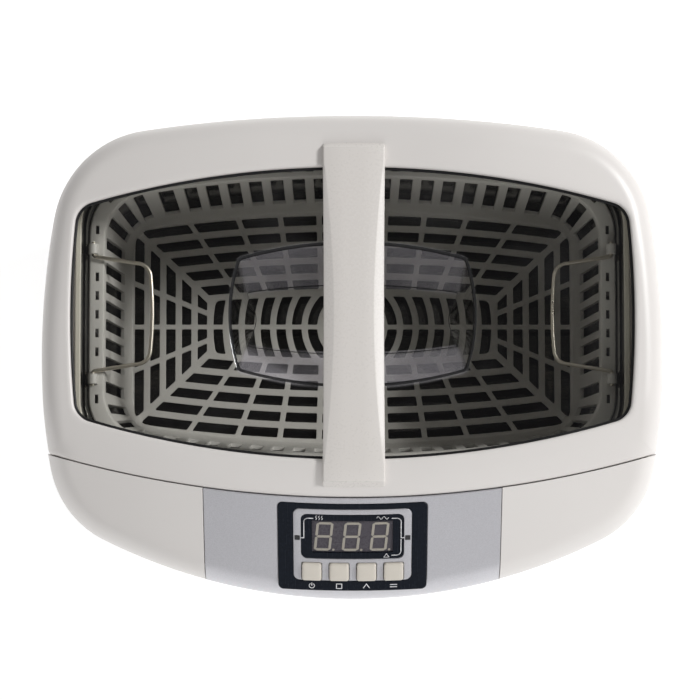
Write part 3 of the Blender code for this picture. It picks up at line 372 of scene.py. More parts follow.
class Shader:
    """A node material under construction."""

    def __init__(self, name):
        self.mat = bpy.data.materials.new(name)
        self.mat.use_nodes = True
        self.tree = self.mat.node_tree
        self.tree.nodes.clear()
        self.out = self.tree.nodes.new("ShaderNodeOutputMaterial")
        self.coords = self.node("ShaderNodeTexCoord").outputs["Object"]

    def node(self, kind, inputs=None, **settings):
        made = self.tree.nodes.new(kind)
        for key, value in settings.items():
            setattr(made, key, value)
        for key, value in (inputs or {}).items():
            self.feed(made.inputs[key], value)
        return made

    def feed(self, socket, value):
        if isinstance(value, bpy.types.NodeSocket):
            self.tree.links.new(value, socket)
        else:
            socket.default_value = value

    def scaled(self, scale):
        """Object coordinates stretched by scale along x, y and z."""
        return self.node("ShaderNodeMapping", {"Vector": self.coords, "Scale": scale}).outputs[0]

    def noise(self, scale, detail=2.0, roughness=0.5, vector=None):
        inputs = {"Vector": vector or self.coords, "Scale": scale, "Detail": detail, "Roughness": roughness}
        return self.node("ShaderNodeTexNoise", inputs).outputs["Fac"]

    def remap(self, value, low, high, out_low, out_high):
        inputs = {"Value": value, "From Min": low, "From Max": high, "To Min": out_low, "To Max": out_high}
        return self.node("ShaderNodeMapRange", inputs).outputs[0]

    def math(self, operation, a, b=0.0):
        return self.node("ShaderNodeMath", {0: a, 1: b}, operation=operation).outputs[0]

    def mix(self, factor, a, b):
        made = self.node("ShaderNodeMix", data_type="RGBA")
        self.feed(made.inputs["Factor"], factor)
        self.feed(made.inputs[6], a)
        self.feed(made.inputs[7], b)
        return made.outputs[2]

    def bump(self, height, strength, distance, normal=None):
        inputs = {"Height": height, "Strength": strength, "Distance": distance}
        if normal:
            inputs["Normal"] = normal
        return self.node("ShaderNodeBump", inputs).outputs[0]

    def round_edges(self, radius):
        return self.node("ShaderNodeBevel", {"Radius": radius}, samples=4).outputs[0]

    def finish(self, **inputs):
        """Principled surface with the given inputs, by their labels with spaces as underscores."""
        shader = self.node("ShaderNodeBsdfPrincipled")
        for key, value in inputs.items():
            self.feed(shader.inputs[key.replace("_", " ")], value)
        self.tree.links.new(shader.outputs[0], self.out.inputs["Surface"])
        return self.mat

    def blend(self, factor, a, b):
        """Surface that mixes two shaders."""
        both = self.node("ShaderNodeMixShader", {0: factor, 1: a, 2: b}).outputs[0]
        self.tree.links.new(both, self.out.inputs["Surface"])
        return self.mat


def shade(color, factor):
    return (color[0] * factor, color[1] * factor, color[2] * factor, 1.0)


def plastic(name, color, rough=0.35, mottle=0.05, grain=0.15, grain_size=0.0006, edge=0.0004, coat=0.0):
    """Moulded plastic: slight colour drift, fine moulded grain, scuffed gloss and eased edges."""
    s = Shader(name)
    drift = s.noise(9.0, 3.0)
    fine = s.noise(0.7 / grain_size, 2.0, 0.6)
    dust = s.noise(900.0, 4.0, 0.7)
    cloudy = s.remap(drift, 0.35, 0.65, 0.0, 1.0)
    base = s.mix(cloudy, shade(color, 1.0 - mottle), shade(color, 1.0 + mottle * 0.4))
    base = s.mix(s.remap(dust, 0.62, 0.80, 0.0, 0.25), base, shade(color, 0.78))
    gloss = s.math("ADD", s.remap(drift, 0.3, 0.7, rough - 0.04, rough + 0.05),
                   s.remap(fine, 0.3, 0.7, -0.03, 0.03))
    normal = s.bump(fine, grain, 0.00003, s.round_edges(edge))
    return s.finish(Base_Color=base, Roughness=gloss, Normal=normal, Coat_Weight=coat, Coat_Roughness=0.12,
                    Specular_IOR_Level=0.5)


def silver_paint(name, color):
    """Metallic paint: fine flake sparkle in the colour and gloss, under a thin coat."""
    s = Shader(name)
    flake = s.node("ShaderNodeTexVoronoi", {"Vector": s.coords, "Scale": 4200.0}, feature="F1")
    flake_value = s.node("ShaderNodeSeparateColor", {0: flake.outputs["Color"]}).outputs[0]
    drift = s.noise(14.0, 3.0)
    base = s.mix(s.remap(flake_value, 0.0, 1.0, 0.0, 1.0), shade(color, 0.90), shade(color, 1.12))
    base = s.mix(s.remap(drift, 0.35, 0.65, 0.0, 0.4), base, shade(color, 0.93))
    rough = s.remap(flake_value, 0.0, 1.0, 0.34, 0.48)
    normal = s.bump(flake_value, 0.05, 0.00002, s.round_edges(0.0004))
    return s.finish(Base_Color=base, Metallic=0.40, Roughness=rough, Normal=normal, Coat_Weight=0.25,
                    Coat_Roughness=0.2)


def film(name, color, rough=0.22, sheen=0.5):
    """Printed polyester film: even colour, faint orange peel and hairline scratches."""
    s = Shader(name)
    peel = s.noise(700.0, 2.0)
    lines = s.noise(60.0, 4.0, 0.6, s.scaled((40.0, 1.0, 1.0)))
    base = s.mix(s.remap(peel, 0.3, 0.7, 0.0, 1.0), shade(color, 0.85), shade(color, 1.15))
    gloss = s.math("ADD", s.remap(lines, 0.4, 0.7, rough - 0.03, rough + 0.10),
                   s.remap(peel, 0.3, 0.7, -0.02, 0.02))
    normal = s.bump(peel, 0.08, 0.00002, s.round_edges(0.0002))
    return s.finish(Base_Color=base, Roughness=gloss, Normal=normal, Specular_IOR_Level=sheen)


def metal(name, color, rough=0.25, stretch=(1.0, 30.0, 30.0), bump=0.12, blotch=0.06):
    """Drawn or rolled metal: directional scratches, water-mark blotches, uneven polish."""
    s = Shader(name)
    grain = s.noise(55.0, 5.0, 0.65, s.scaled(stretch))
    spots = s.noise(28.0, 4.0, 0.6)
    fine = s.noise(900.0, 3.0)
    base = s.mix(s.remap(spots, 0.4, 0.7, 0.0, 1.0), shade(color, 1.0), shade(color, 0.82))
    gloss = s.math("ADD", s.remap(grain, 0.3, 0.7, rough - 0.07, rough + 0.10),
                   s.remap(spots, 0.35, 0.7, -blotch, blotch))
    height = s.math("ADD", grain, s.math("MULTIPLY", fine, 0.3))
    normal = s.bump(height, bump, 0.00004, s.round_edges(0.0002))
    return s.finish(Base_Color=base, Metallic=1.0, Roughness=gloss, Normal=normal)


def rubber(name, color, rough=0.75):
    s = Shader(name)
    fine = s.noise(1400.0, 3.0, 0.7)
    bloom = s.noise(60.0, 4.0)
    base = s.mix(s.remap(bloom, 0.45, 0.75, 0.0, 0.6), shade(color, 1.0), shade(color, 2.2))
    gloss = s.remap(bloom, 0.3, 0.7, rough - 0.08, rough + 0.10)
    normal = s.bump(fine, 0.35, 0.00005, s.round_edges(0.0004))
    return s.finish(Base_Color=base, Roughness=gloss, Normal=normal, Specular_IOR_Level=0.3)


def board_green(name):
    """Solder mask with copper tracks under it."""
    s = Shader(name)
    greens = {"Color1": (0.010, 0.10, 0.045, 1), "Color2": (0.013, 0.13, 0.055, 1),
              "Mortar": (0.03, 0.22, 0.09, 1)}
    brick = s.node("ShaderNodeTexBrick", {"Vector": s.coords, "Scale": 160.0, "Mortar Size": 0.03, **greens})
    tracks = brick.outputs["Color"]
    fine = s.noise(1100.0, 3.0)
    base = s.mix(s.remap(fine, 0.55, 0.75, 0.0, 0.3), tracks, (0.30, 0.30, 0.22, 1.0))
    normal = s.bump(fine, 0.2, 0.00004)
    return s.finish(Base_Color=base, Roughness=s.remap(fine, 0.3, 0.7, 0.3, 0.45), Normal=normal)


def winding(name, color):
    """Enamelled copper wire laid side by side, with painted shade in the grooves between turns and a painted
    highlight on each crown.
    """
    s = Shader(name)
    wave = s.node("ShaderNodeTexWave", {"Vector": s.coords, "Scale": 420.0, "Distortion": 1.5, "Detail": 2.0},
                  wave_type="RINGS", rings_direction="Y").outputs["Fac"]
    # Colour follows the bump: darker in the grooves, lighter on the crowns, as painted shade and highlight.
    base = s.mix(wave, shade(color, 0.45), shade(color, 1.2))
    return s.finish(Base_Color=base, Metallic=0.8, Roughness=s.remap(wave, 0, 1, 0.45, 0.28),
                    Normal=s.bump(wave, 0.8, 0.0002))


def clear_plastic(name):
    """Thin smoked clear moulding: faint tint, mirror sheen, and a painted milky sheen where it slopes to
    front or rear.
    """
    s = Shader(name)
    geometry = s.node("ShaderNodeNewGeometry")
    axes = s.node("ShaderNodeSeparateXYZ", {0: geometry.outputs["Normal"]}).outputs
    slope = s.math("ABSOLUTE", axes[1])
    facing_rear = s.math("GREATER_THAN", s.math("MULTIPLY", axes[1], axes[2]), 0.0)
    smudge = s.noise(22.0, 4.0, 0.6)
    fine = s.noise(500.0, 2.0)
    normal = s.bump(fine, 0.02, 0.00002)
    sloping = s.remap(slope, 0.35, 0.70, 0.0, 1.0)
    # The tint turns a little lavender on those slopes, as part of the painted sheen.
    tint = s.mix(sloping, (0.92, 0.92, 0.90, 1), (0.92, 0.91, 0.93, 1))
    through = s.node("ShaderNodeBsdfTransparent", {"Color": tint}).outputs[0]
    # A lit lavender layer stands in for the light reflected in the well's sloping walls: painted sheen,
    # stronger on faces that turn towards the rear, plus a little everywhere for smudges.
    wall_sheen_color = s.mix(s.remap(smudge, 0.3, 0.7, 0.0, 1.0), (0.66, 0.64, 0.69, 1), (0.76, 0.74, 0.78, 1))
    sheen_and_smudge = s.node("ShaderNodeBsdfDiffuse", {"Color": wall_sheen_color, "Normal": normal}).outputs[0]
    painted_wall_sheen = s.math("MULTIPLY", sloping, s.remap(facing_rear, 0.0, 1.0, 0.085, 0.16))
    amount = s.math("ADD", painted_wall_sheen, s.remap(smudge, 0.5, 0.8, 0.003, 0.012))
    body = s.node("ShaderNodeMixShader", {0: amount, 1: through, 2: sheen_and_smudge}).outputs[0]
    gloss = s.node("ShaderNodeBsdfGlossy", {"Color": (0.95, 0.95, 0.95, 1), "Normal": normal,
                                            "Roughness": s.remap(smudge, 0.3, 0.7, 0.03, 0.07)}).outputs[0]
    fresnel = s.node("ShaderNodeFresnel", {"IOR": 1.45, "Normal": normal}).outputs[0]
    near_face = s.math("SUBTRACT", 1.0, geometry.outputs["Backfacing"])
    return s.blend(s.math("MULTIPLY", fresnel, near_face), body, gloss)


def dark_glaze(name, texture, clear, dark, rough, share):
    """Partly see-through gloss: the display's dark lens, and the painted shade along the clear moulding's
    bends, which read as dark lines.
    """
    s = Shader(name)
    uneven = s.noise(*texture)
    through = s.node("ShaderNodeBsdfTransparent", {"Color": (*clear, 1)}).outputs[0]
    roughness = s.remap(uneven, 0.3, 0.7, *rough)
    gloss = s.node("ShaderNodeBsdfPrincipled", {"Base Color": (*dark, 1), "Roughness": roughness}).outputs[0]
    return s.blend(share, through, gloss)


def build_materials():
    return {
        "white": plastic("white_shell", (0.735, 0.705, 0.682), 0.36, 0.03, 0.10, 0.0008, 0.0005),
        "bar": plastic("white_bar", (0.725, 0.692, 0.660), 0.30, 0.012, 0.03, 0.0008, 0.0004),
        "silver": silver_paint("silver_paint", (0.56, 0.555, 0.585)),
        "navy": film("panel_film", (0.0050, 0.0075, 0.0135), 0.22, 0.22),
        "lens": dark_glaze("display_lens", (400.0, 2.0), (0.93, 0.92, 0.94), (0.010, 0.011, 0.016),
                           (0.10, 0.16), 0.06),
        "display": plastic("display_epoxy", (0.125, 0.118, 0.126), 0.30, 0.05, 0.10, 0.0006, 0.0001),
        "segment": plastic("display_segment", (0.68, 0.66, 0.52), 0.45, 0.10, 0.20, 0.0005, 0.0001),
        "ink": film("printed_ink", (0.85, 0.85, 0.87), 0.35),
        "lamp": film("lamp_lens", (0.030, 0.030, 0.032), 0.2),
        "button": plastic("button_plastic", (0.66, 0.615, 0.545), 0.42, 0.03, 0.25, 0.0005, 0.0003),
        "dark": plastic("dark_plastic", (0.022, 0.022, 0.024), 0.50, 0.08, 0.5, 0.0006, 0.0004),
        "grey": plastic("basket_plastic", (0.60, 0.585, 0.560), 0.42, 0.05, 0.30, 0.0007, 0.0005),
        # Steel far darker than real steel: painted shade for the unlit inside of the tank.
        "steel": metal("tank_steel_painted_dark", (0.15, 0.145, 0.135), 0.12),
        "wire": metal("wire_steel", (0.86, 0.80, 0.70), 0.34, (1.0, 1.0, 1.0), 0.08),
        "zinc": metal("zinc_plate", (0.52, 0.52, 0.50), 0.36, (1.0, 1.0, 1.0), 0.2, 0.10),
        "aluminium": metal("machined_aluminium", (0.68, 0.69, 0.70), 0.34, (1.0, 1.0, 60.0), 0.2),
        "brass": metal("sensor_brass", (0.62, 0.46, 0.20), 0.3, (30.0, 1.0, 30.0)),
        "rubber": rubber("black_rubber", (0.012, 0.012, 0.013)),
        "seal": rubber("seal_rubber", (0.010, 0.010, 0.011), 0.45),
        "heater": rubber("heater_silicone", (0.36, 0.085, 0.045), 0.6),
        "board": board_green("solder_mask"),
        "copper": winding("copper_winding", (0.62, 0.25, 0.10)),
        "ceramic": plastic("piezo_silvered", (0.42, 0.40, 0.37), 0.5, 0.08, 0.4, 0.0005, 0.0003),
        "blue": plastic("relay_blue", (0.022, 0.085, 0.30), 0.4),
        "yellow": plastic("capacitor_yellow", (0.60, 0.42, 0.06), 0.45),
        "cable": plastic("ribbon_grey", (0.32, 0.32, 0.34), 0.55, 0.12, 0.6, 0.0012, 0.0003),
        "clear": clear_plastic("smoked_clear"),
        # Painted shade: near-black lines on the clear window's bends, where the bent plastic turns the light
        # away.
        "edge": dark_glaze("painted_bend_shade", (60.0, 3.0, 0.6), (0.14, 0.14, 0.14), (0.02, 0.02, 0.022),
                           (0.06, 0.14), 0.70),
        "flange": plastic("deck_cream", (0.66, 0.63, 0.55), 0.50, 0.04, 0.10, 0.0008, 0.0003),
        "label": film("label_foil", (0.50, 0.50, 0.51), 0.38),
    }


# ---------------------------------------------------------------- body shells

def outer_rings():
    """Outer skin of the upper shell from the split line up over the rounded edge."""
    levels = ((0.0034, SPLIT_Z + 0.0002), (0.0030, SPLIT_Z + 0.0006), (0.0018, 0.085), (0.0008, 0.100),
              (0.0002, 0.112), (0.0, 0.122))
    rings = [ring(plan(BODY, i), z) for i, z in levels]
    for k in range(1, 11):
        inset = EDGE_R * (1 - math.cos(math.pi / 2 * k / 10))
        rings.append(ring(plan(BODY, max(inset, 0.00005)), skin))
    return rings


def inward_rings(first):
    """Deck of the upper shell, from the rounded edge in to below the lid's window."""
    inner = plan(LID, 0.022)
    outer = [(x, y) for x, y, _ in first]
    return [ring(between(outer, inner, k / 10), dome) for k in range(1, 11)]


def front_profile(x):
    """Outer skin in the slice at x, from the seam down to the split line, as (y, z)."""
    front = lambda inset: BODY[1] + BODY[4] - math.sqrt((BODY[4] - inset) ** 2 - x * x)
    start = SEAM_CENTRE_Y - math.sqrt((SEAM_R + 0.0003) ** 2 - x * x)
    stop = front(EDGE_R)
    points = [(start, dome(x, start) - 0.0004), (start - 0.0004, dome(x, start - 0.0004))]
    for t in range(1, 9):
        y = start + (stop - start) * t / 8
        points.append((y, dome(x, y)))
    for k in range(7, -1, -1):
        inset = EDGE_R * (1 - math.cos(math.pi / 2 * (k + 0.5) / 8.5))
        points.append((front(inset), skin(x, front(inset))))
    points += [(front(0.0), 0.122), (front(0.0002), 0.112), (front(0.0008), 0.100), (front(0.0018), 0.085),
               (front(0.0030), SPLIT_Z + 0.0007), (front(0.0034), SPLIT_Z + 0.0002)]
    return points


def offset_profile(points, distance):
    """The slice moved along its own outward normal."""
    moved = []
    for i, (y, z) in enumerate(points):
        a, b = points[max(i - 1, 0)], points[min(i + 1, len(points) - 1)]
        dy, dz = b[0] - a[0], b[1] - a[1]
        size = math.hypot(dy, dz)
        moved.append((y + dz / size * distance, z - dy / size * distance))
    return moved


def fascia_strip(name, half, outer, inner, grow, mat=None, columns=36):
    """Skin-following strip round the middle of the front, between two offsets."""
    top, low = [], []
    for i in range(columns + 1):
        x = -half + 2 * half * i / columns
        points = front_profile(x)
        points[0] = (points[0][0] + grow, points[0][1])
        points[-1] = (points[-1][0], points[-1][1] - grow)
        top += [(x, y, z) for y, z in offset_profile(points, outer)]
        low += [(x, y, z) for y, z in offset_profile(points, -inner)]
    return grid_solid(name, top, low, columns, len(front_profile(0.0)) - 1, mat)


def hinge_ear(name, x, half, low, flip=False):
    """Rounded lug round the hinge axis with the pin's bore through it."""
    radius, bore = 0.0032, 0.00156
    outline = arc((HINGE_Y, HINGE_Z), radius, 0, 180, 20) + [(HINGE_Y - radius, low), (HINGE_Y + radius, low)]
    if flip:
        outline = [(y, 2 * HINGE_Z - z) for y, z in reversed(outline)]
    ear, reach = across(name, outline, x - half, x + half), half + 0.002
    return cut(ear, tube("bore", (x - reach, HINGE_Y, HINGE_Z), (x + reach, HINGE_Y, HINGE_Z), bore))


def build_upper_shell(mat):
    """Upper body: rounded skin, pocket for the lid, tank mouth, fascia seat, hinge ears and splash ribs."""
    rings = outer_rings()
    shell = loft("shell_upper", rings + inward_rings(rings[-1]), mat)
    cut(shell, prism("pocket", plan(POCKET), DECK_Z, 0.2),
        prism("cavity", plan(BODY, 0.0065), 0.060, 0.1310),
        fascia_strip("seat", FASCIA_HALF + 0.0003, 0.02, FASCIA_T + 0.0003, 0.002),
        prism("mouth", tray(*TANK_MOUTH), 0.120, 0.150), panel_opening())
    ears = [hinge_ear("ear", side * HINGE_X + offset, EAR_HALF, DECK_Z - 0.001)
            for side in (-1, 1) for offset in (-EAR_OFFSET, EAR_OFFSET)]
    ribs = [splash_rib(x0, x1) for x0, x1 in SPLASH_RIBS]
    fuse(shell, *ears, *ribs)
    return stand_for(shell, "housing", "white_plastic", "upper_housing")


def splash_rib(x0, x1):
    """Low wall on the deck that closes the gap under the lid between the hinge ears."""
    front, rear, top = HINGE_Y - 0.0030, HINGE_Y - 0.0014, HINGE_Z - 0.0006
    outline = [(front, DECK_Z - 0.001), (front, top - 0.0004), (front + 0.0003, top), (rear - 0.0003, top),
               (rear, top - 0.0004), (rear, DECK_Z - 0.001)]
    return across("rib", outline[::-1], x0, x1)


def centre_of(node):
    """Middle of a CAD node's box, as x, y and z."""
    low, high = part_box(node)
    return [(a + b) / 2 for a, b in zip(low, high)]


def build_lower_shell(mat):
    """Lower body, drawn in toward the base, with vents and the inlet and fuse openings."""
    low, high = SHELL_BOTTOM, SPLIT_Z - 0.0003
    outer = ((0.0180, low), (0.0150, low + 0.0001), (0.0132, low + 0.0008), (0.0119, low + 0.0024),
             (0.0108, 0.0095), (0.0098, 0.016), (0.0080, 0.028), (0.0062, 0.042), (0.0046, 0.056),
             (0.0034, high - 0.0006), (0.0038, high))
    inner = ((0.0062, high), (0.0072, 0.056), (0.0092, 0.040), (0.0135, 0.012), (0.0160, 0.0085))
    shell = loft("shell_lower", [ring(plan(BODY, i), z) for i, z in outer + inner], mat, False)
    fan_x, (fuse_x, _, fuse_z) = centre_of("fan_frame")[0], centre_of("fuse_holder")
    inlet_low, inlet_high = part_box("power_inlet")
    slots = [vent_slot((fan_x + 0.0055 * (i - 3), 0.10, 0.032), 0.0012, 0.014, "Y") for i in range(7)]
    slots += [vent_slot((side * 0.127, -0.03 + 0.0075 * i, 0.034), 0.0012, 0.010, "X")
              for side in (-1, 1) for i in range(9)]
    slots.append(box("inlet", (inlet_low.x - 0.0003, inlet_high.x + 0.0003), (0.080, 0.12),
                     (inlet_low.z - 0.0003, inlet_high.z + 0.0003)))
    slots.append(tube("fuse_hole", (fuse_x, 0.08, fuse_z), (fuse_x, 0.12, fuse_z), 0.0063))
    cut(shell, join("openings", slots))
    return stand_for(shell, "housing", "white_plastic", "lower_housing")


def vent_slot(middle, half_width, half_height, along):
    """Round-ended upright slot cutter, 40 mm long through the wall."""
    ends = arc((0.0, half_height - half_width), half_width, 0, 180, 8)
    outline = ends + [(-a, -b) for a, b in ends]
    if along == "Y":
        place = lambda a, b, d: (middle[0] + a, middle[1] + d, middle[2] + b)
    else:
        place = lambda a, b, d: (middle[0] + d, middle[1] + a, middle[2] + b)
    return loft("slot", [[place(a, b, d) for a, b in outline] for d in (-0.020, 0.020)])


# ---------------------------------------------------------------- control panel

def panel_point(x, v, out=0.0):
    """A point on the apron skin: v up the slope from the panel's middle, out along its normal."""
    rho = PANEL_MID - v * math.cos(PANEL_TILT)
    y = SEAM_CENTRE_Y - math.sqrt((SEAM_R + rho) ** 2 - x * x)
    return (x, y - out * math.sin(PANEL_TILT), dome(x, y) + out * math.cos(PANEL_TILT))


def rounded(x0, x1, v0, v1, radius, steps=6, edge=8):
    """Rounded rectangle on the panel with its long edges divided, so that it can follow the curve."""
    radius = max(min(radius, (x1 - x0) / 2 - 1e-5, (v1 - v0) / 2 - 1e-5), 1e-5)
    corners = ((x1 - radius, v0 + radius, -90), (x1 - radius, v1 - radius, 0),
               (x0 + radius, v1 - radius, 90), (x0 + radius, v0 + radius, 180))
    points = []
    for k, (cx, cv, start) in enumerate(corners):
        bend = arc((cx, cv), radius, start, start + 90, steps)
        next_x, next_v, next_start = corners[(k + 1) % 4]
        goal = arc((next_x, next_v), radius, next_start, next_start, 1)[0]
        points += bend + [between([bend[-1]], [goal], i / edge)[0] for i in range(1, edge)]
    return points


def panel_ring(rect, inset, out, steps=6):
    x0, x1, v0, v1, radius = rect
    points = rounded(x0 + inset, x1 - inset, v0 + inset, v1 - inset, radius - inset, steps)
    return [panel_point(x, v, out) for x, v in points]


def panel_plate(name, rect, top, depth, mat=None, edge=0.0002, fill=5):
    """Plate that follows the apron, with an eased edge and a gridded face."""
    rings = [panel_ring(rect, inset, out) for inset, out in (
        (0.0, -depth), (0.0, top - edge), (edge * 0.3, top - edge * 0.3), (edge, top))]
    half = min(rect[1] - rect[0], rect[3] - rect[2]) / 2
    rings += [panel_ring(rect, edge + (half * 0.96 - edge) * k / fill, top) for k in range(1, fill + 1)]
    return loft(name, rings, mat)


def panel_frame(name, rect, hole, top, depth, mat, edge=0.0002):
    """Frame that follows the apron: a plate with one rounded hole."""
    rings = [panel_ring(rect, 0.0, -depth), panel_ring(rect, 0.0, top - edge), panel_ring(rect, edge, top),
             panel_ring(hole, -edge, top), panel_ring(hole, 0.0, top - edge), panel_ring(hole, 0.0, -depth)]
    return loft(name, rings, mat, False)


def square(x, v, half, radius):
    return (x - half, x + half, v - half, v + half, radius)


def grown(rect, by):
    x0, x1, v0, v1, radius = rect
    return (x0 - by, x1 + by, v0 - by, v1 + by, radius)


def lamp_rect(side, grow):
    return square(side * LAMP_X, LAMP_V, LAMP_HALF + grow, 0.0002)


def build_panel(mats):
    """Silver fascia, the blue overlay let into it, and the surround that holds keys, lamps and display."""
    fascia = fascia_strip("fascia", FASCIA_HALF, 0.0, FASCIA_T, 0.0, mats["silver"])
    seat = panel_plate("seat", grown(OVERLAY, 0.0002), 0.004, 0.0006)
    cut(fascia, seat, panel_opening())
    stand_for(fascia, "housing", "silver_plastic", "control_fascia")
    overlay = panel_frame("overlay", OVERLAY, grown(SURROUND, 0.0001), 0.0002, 0.0005, mats["navy"])
    stand_for(overlay, "housing", "control_film", "control_overlay")
    surround = panel_plate("surround", SURROUND, 0.0003, 0.0008, mats["silver"], 0.0002, 8)
    holes = [square(x, BUTTON_V, BUTTON_HALF + KEY_GAP, 0.0010) for x in BUTTON_X]
    holes += [lamp_rect(side, 0.0001) for side in (-1, 1)] + [FIELD]
    cut(surround, join("wells", [panel_plate("well", rect, 0.002, 0.004) for rect in holes]))
    stand_for(surround, "housing", "silver_plastic", "display_bezel")
    build_display(mats)
    for x, name in zip(BUTTON_X, BUTTON_NAMES):
        build_button(x, name, mats)
    for side, name in ((-1, "left"), (1, "right")):
        lamp = panel_plate("lamp_" + name, lamp_rect(side, 0.0), 0.0004, 0.0012, mats["lamp"], 0.0001, 3)
        stand_for(lamp, "housing", "lamp_plastic", "indicator_led_" + name)
    build_markings(mats["ink"])


def panel_opening():
    """Cutter for the opening behind the surround, where the keys and the display reach inside."""
    return panel_plate("panel_opening", PANEL_OPENING, 0.004, 0.012)


def build_display(mats):
    """Dark window, and behind it a three-digit module with unlit segments."""
    mask = panel_frame("display_mask", grown(FIELD, -0.0001), GLASS, 0.0000, 0.0008, mats["navy"], 0.0001)
    stand_for(mask, "housing", "control_film")
    lens = panel_plate("display_glass", GLASS, -0.0001, 0.0004, mats["lens"], 0.0001)
    stand_for(lens, "housing", "display_lens", "display_window")
    block = panel_plate("display_block", DISPLAY_BLOCK, -0.0008, 0.0085, mats["display"])
    stand_for(block, "housing", "dark_plastic", "display_module")
    bars = []
    for step in (-1, 0, 1):
        bars += digit_segments(step * DIGIT_PITCH - 0.0004)
    digits = join("display_digits", bars, mats["segment"])
    stand_for(digits, "housing", "lamp_plastic")


def digit_segments(middle):
    """Seven slanted segments and a point, unlit."""
    low, high, half, t, gap, lean = -0.0020, 0.0127, 0.0038, 0.00115, 0.00012, 0.10
    mid = (low + high) / 2
    slant = lambda u, v: (middle + u + (v - mid) * lean, v)
    made = []

    def bar(points):
        top = [panel_point(*slant(u, v), -0.00060) for u, v in points]
        base = [panel_point(*slant(u, v), -0.00085) for u, v in points]
        made.append(loft("segment", [base, top]))

    tip, end = t / 2, half - t - gap
    for c in (low + tip, mid, high - tip):
        bar([(-end - tip, c), (-end, c - tip), (end, c - tip), (end + tip, c), (end, c + tip),
             (-end, c + tip)])
    for side in (-1, 1):
        for v0, v1 in ((low, mid), (mid, high)):
            x = side * (half - tip)
            a, b = v0 + gap * 2, v1 - gap * 2
            if v0 == low:
                a += t * 0.2
            else:
                b -= t * 0.2
            bar([(x, a), (x + tip, a + tip), (x + tip, b - tip), (x, b), (x - tip, b - tip),
                 (x - tip, a + tip)])
    bar(circle((half + 0.0012, low + POINT_R), POINT_R, 16))
    return made


def build_button(x, name, mats):
    """Square key with a softly crowned face, eased edges and a skirt."""
    rect = square(x, BUTTON_V, BUTTON_HALF, 0.0011)
    levels = ((0.0, -0.0024), (0.0, 0.0008), (0.00012, 0.00125), (0.00045, 0.00152), (0.0009, 0.0016),
              (0.0020, 0.00166), (0.0032, 0.00170), (0.0042, 0.00171))
    cap = loft("key_" + name, [panel_ring(rect, i, o, 8) for i, o in levels], mats["button"])
    stand_for(cap, "button_" + name, "button_plastic", "button_" + name)


def ink_line(points, width=0.00036):
    """Thin printed line along panel points."""
    made = []
    for (x0, v0), (x1, v1) in zip(points, points[1:]):
        length = math.hypot(x1 - x0, v1 - v0)
        if length < 1e-7:
            continue
        du, dv = (x1 - x0) / length, (v1 - v0) / length
        nu, nv = -dv * width / 2, du * width / 2
        lap = width * 0.4
        a0, b0, a1, b1 = x0 - du * lap, v0 - dv * lap, x1 + du * lap, v1 + dv * lap
        quad = [(a0 - nu, b0 - nv), (a1 - nu, b1 - nv), (a1 + nu, b1 + nv), (a0 + nu, b0 + nv)]
        made.append(loft("line", [[panel_point(u, v, out) for u, v in quad] for out in (0.0002, 0.00028)]))
    return made


def key_symbols(v):
    """Start, stop, raise and two-way marks under the four keys."""
    on, off, up, two = BUTTON_X
    r = 0.0012
    made = ink_line([(on, v + r * 1.2), (on, v + r * 0.1)])
    made += ink_line(arc((on, v), r, 125, 415, 14))
    made += ink_line([(off + r * a, v + r * b) for a, b in ((-1, -1), (1, -1), (1, 1), (-1, 1), (-1, -1))])
    made += ink_line([(up - r * 1.1, v - r * 0.7), (up, v + r), (up + r * 1.1, v - r * 0.7)])
    for rise in (0.5, -0.5):
        made += ink_line([(two - r * 1.2, v + r * rise), (two + r * 1.2, v + r * rise)])
    return made


def display_symbols():
    """Warmth, wave and caution marks at the ends of the leader lines."""
    made = []
    for x in (-0.0163, -0.0150, -0.0137):
        flame = [(x, 0.0144), (x + 0.0004, 0.0150), (x - 0.0002, 0.0157), (x + 0.0002, 0.0163)]
        made += ink_line(flame, FINE_INK)
    wave = [(0.0108 + 0.0052 * i / 16, 0.0154 + 0.0007 * math.sin(math.pi * i / 4)) for i in range(17)]
    made += ink_line(wave, FINE_INK)
    made += ink_line([(0.0140, -0.0049), (0.0152, -0.0031), (0.0164, -0.0049), (0.0140, -0.0049)], FINE_INK)
    return made


def build_markings(mat):
    """Leader lines from the lamps, and a generic symbol for each key instead of words."""
    lines = []
    for side in (-1, 1):
        lines += ink_line([(side * 0.0230, 0.0048), (side * 0.0217, 0.0048), (side * 0.0217, 0.0130)]
                          + arc((side * 0.0197, 0.0130), 0.0020, 0 if side > 0 else 180, 90, 10)[1:]
                          + [(side * 0.0176, 0.0150)])
    lines += ink_line([(0.0217, 0.0040), (0.0217, -0.0020)]
                      + arc((0.0197, -0.0020), 0.0020, 0, -90, 10)[1:] + [(0.0176, -0.0040)])
    lines += key_symbols(-0.0199) + display_symbols()
    marks = join("panel_marks", lines, mat)
    stand_for(marks, "housing", "lamp_plastic")


# ---------------------------------------------------------------- lid

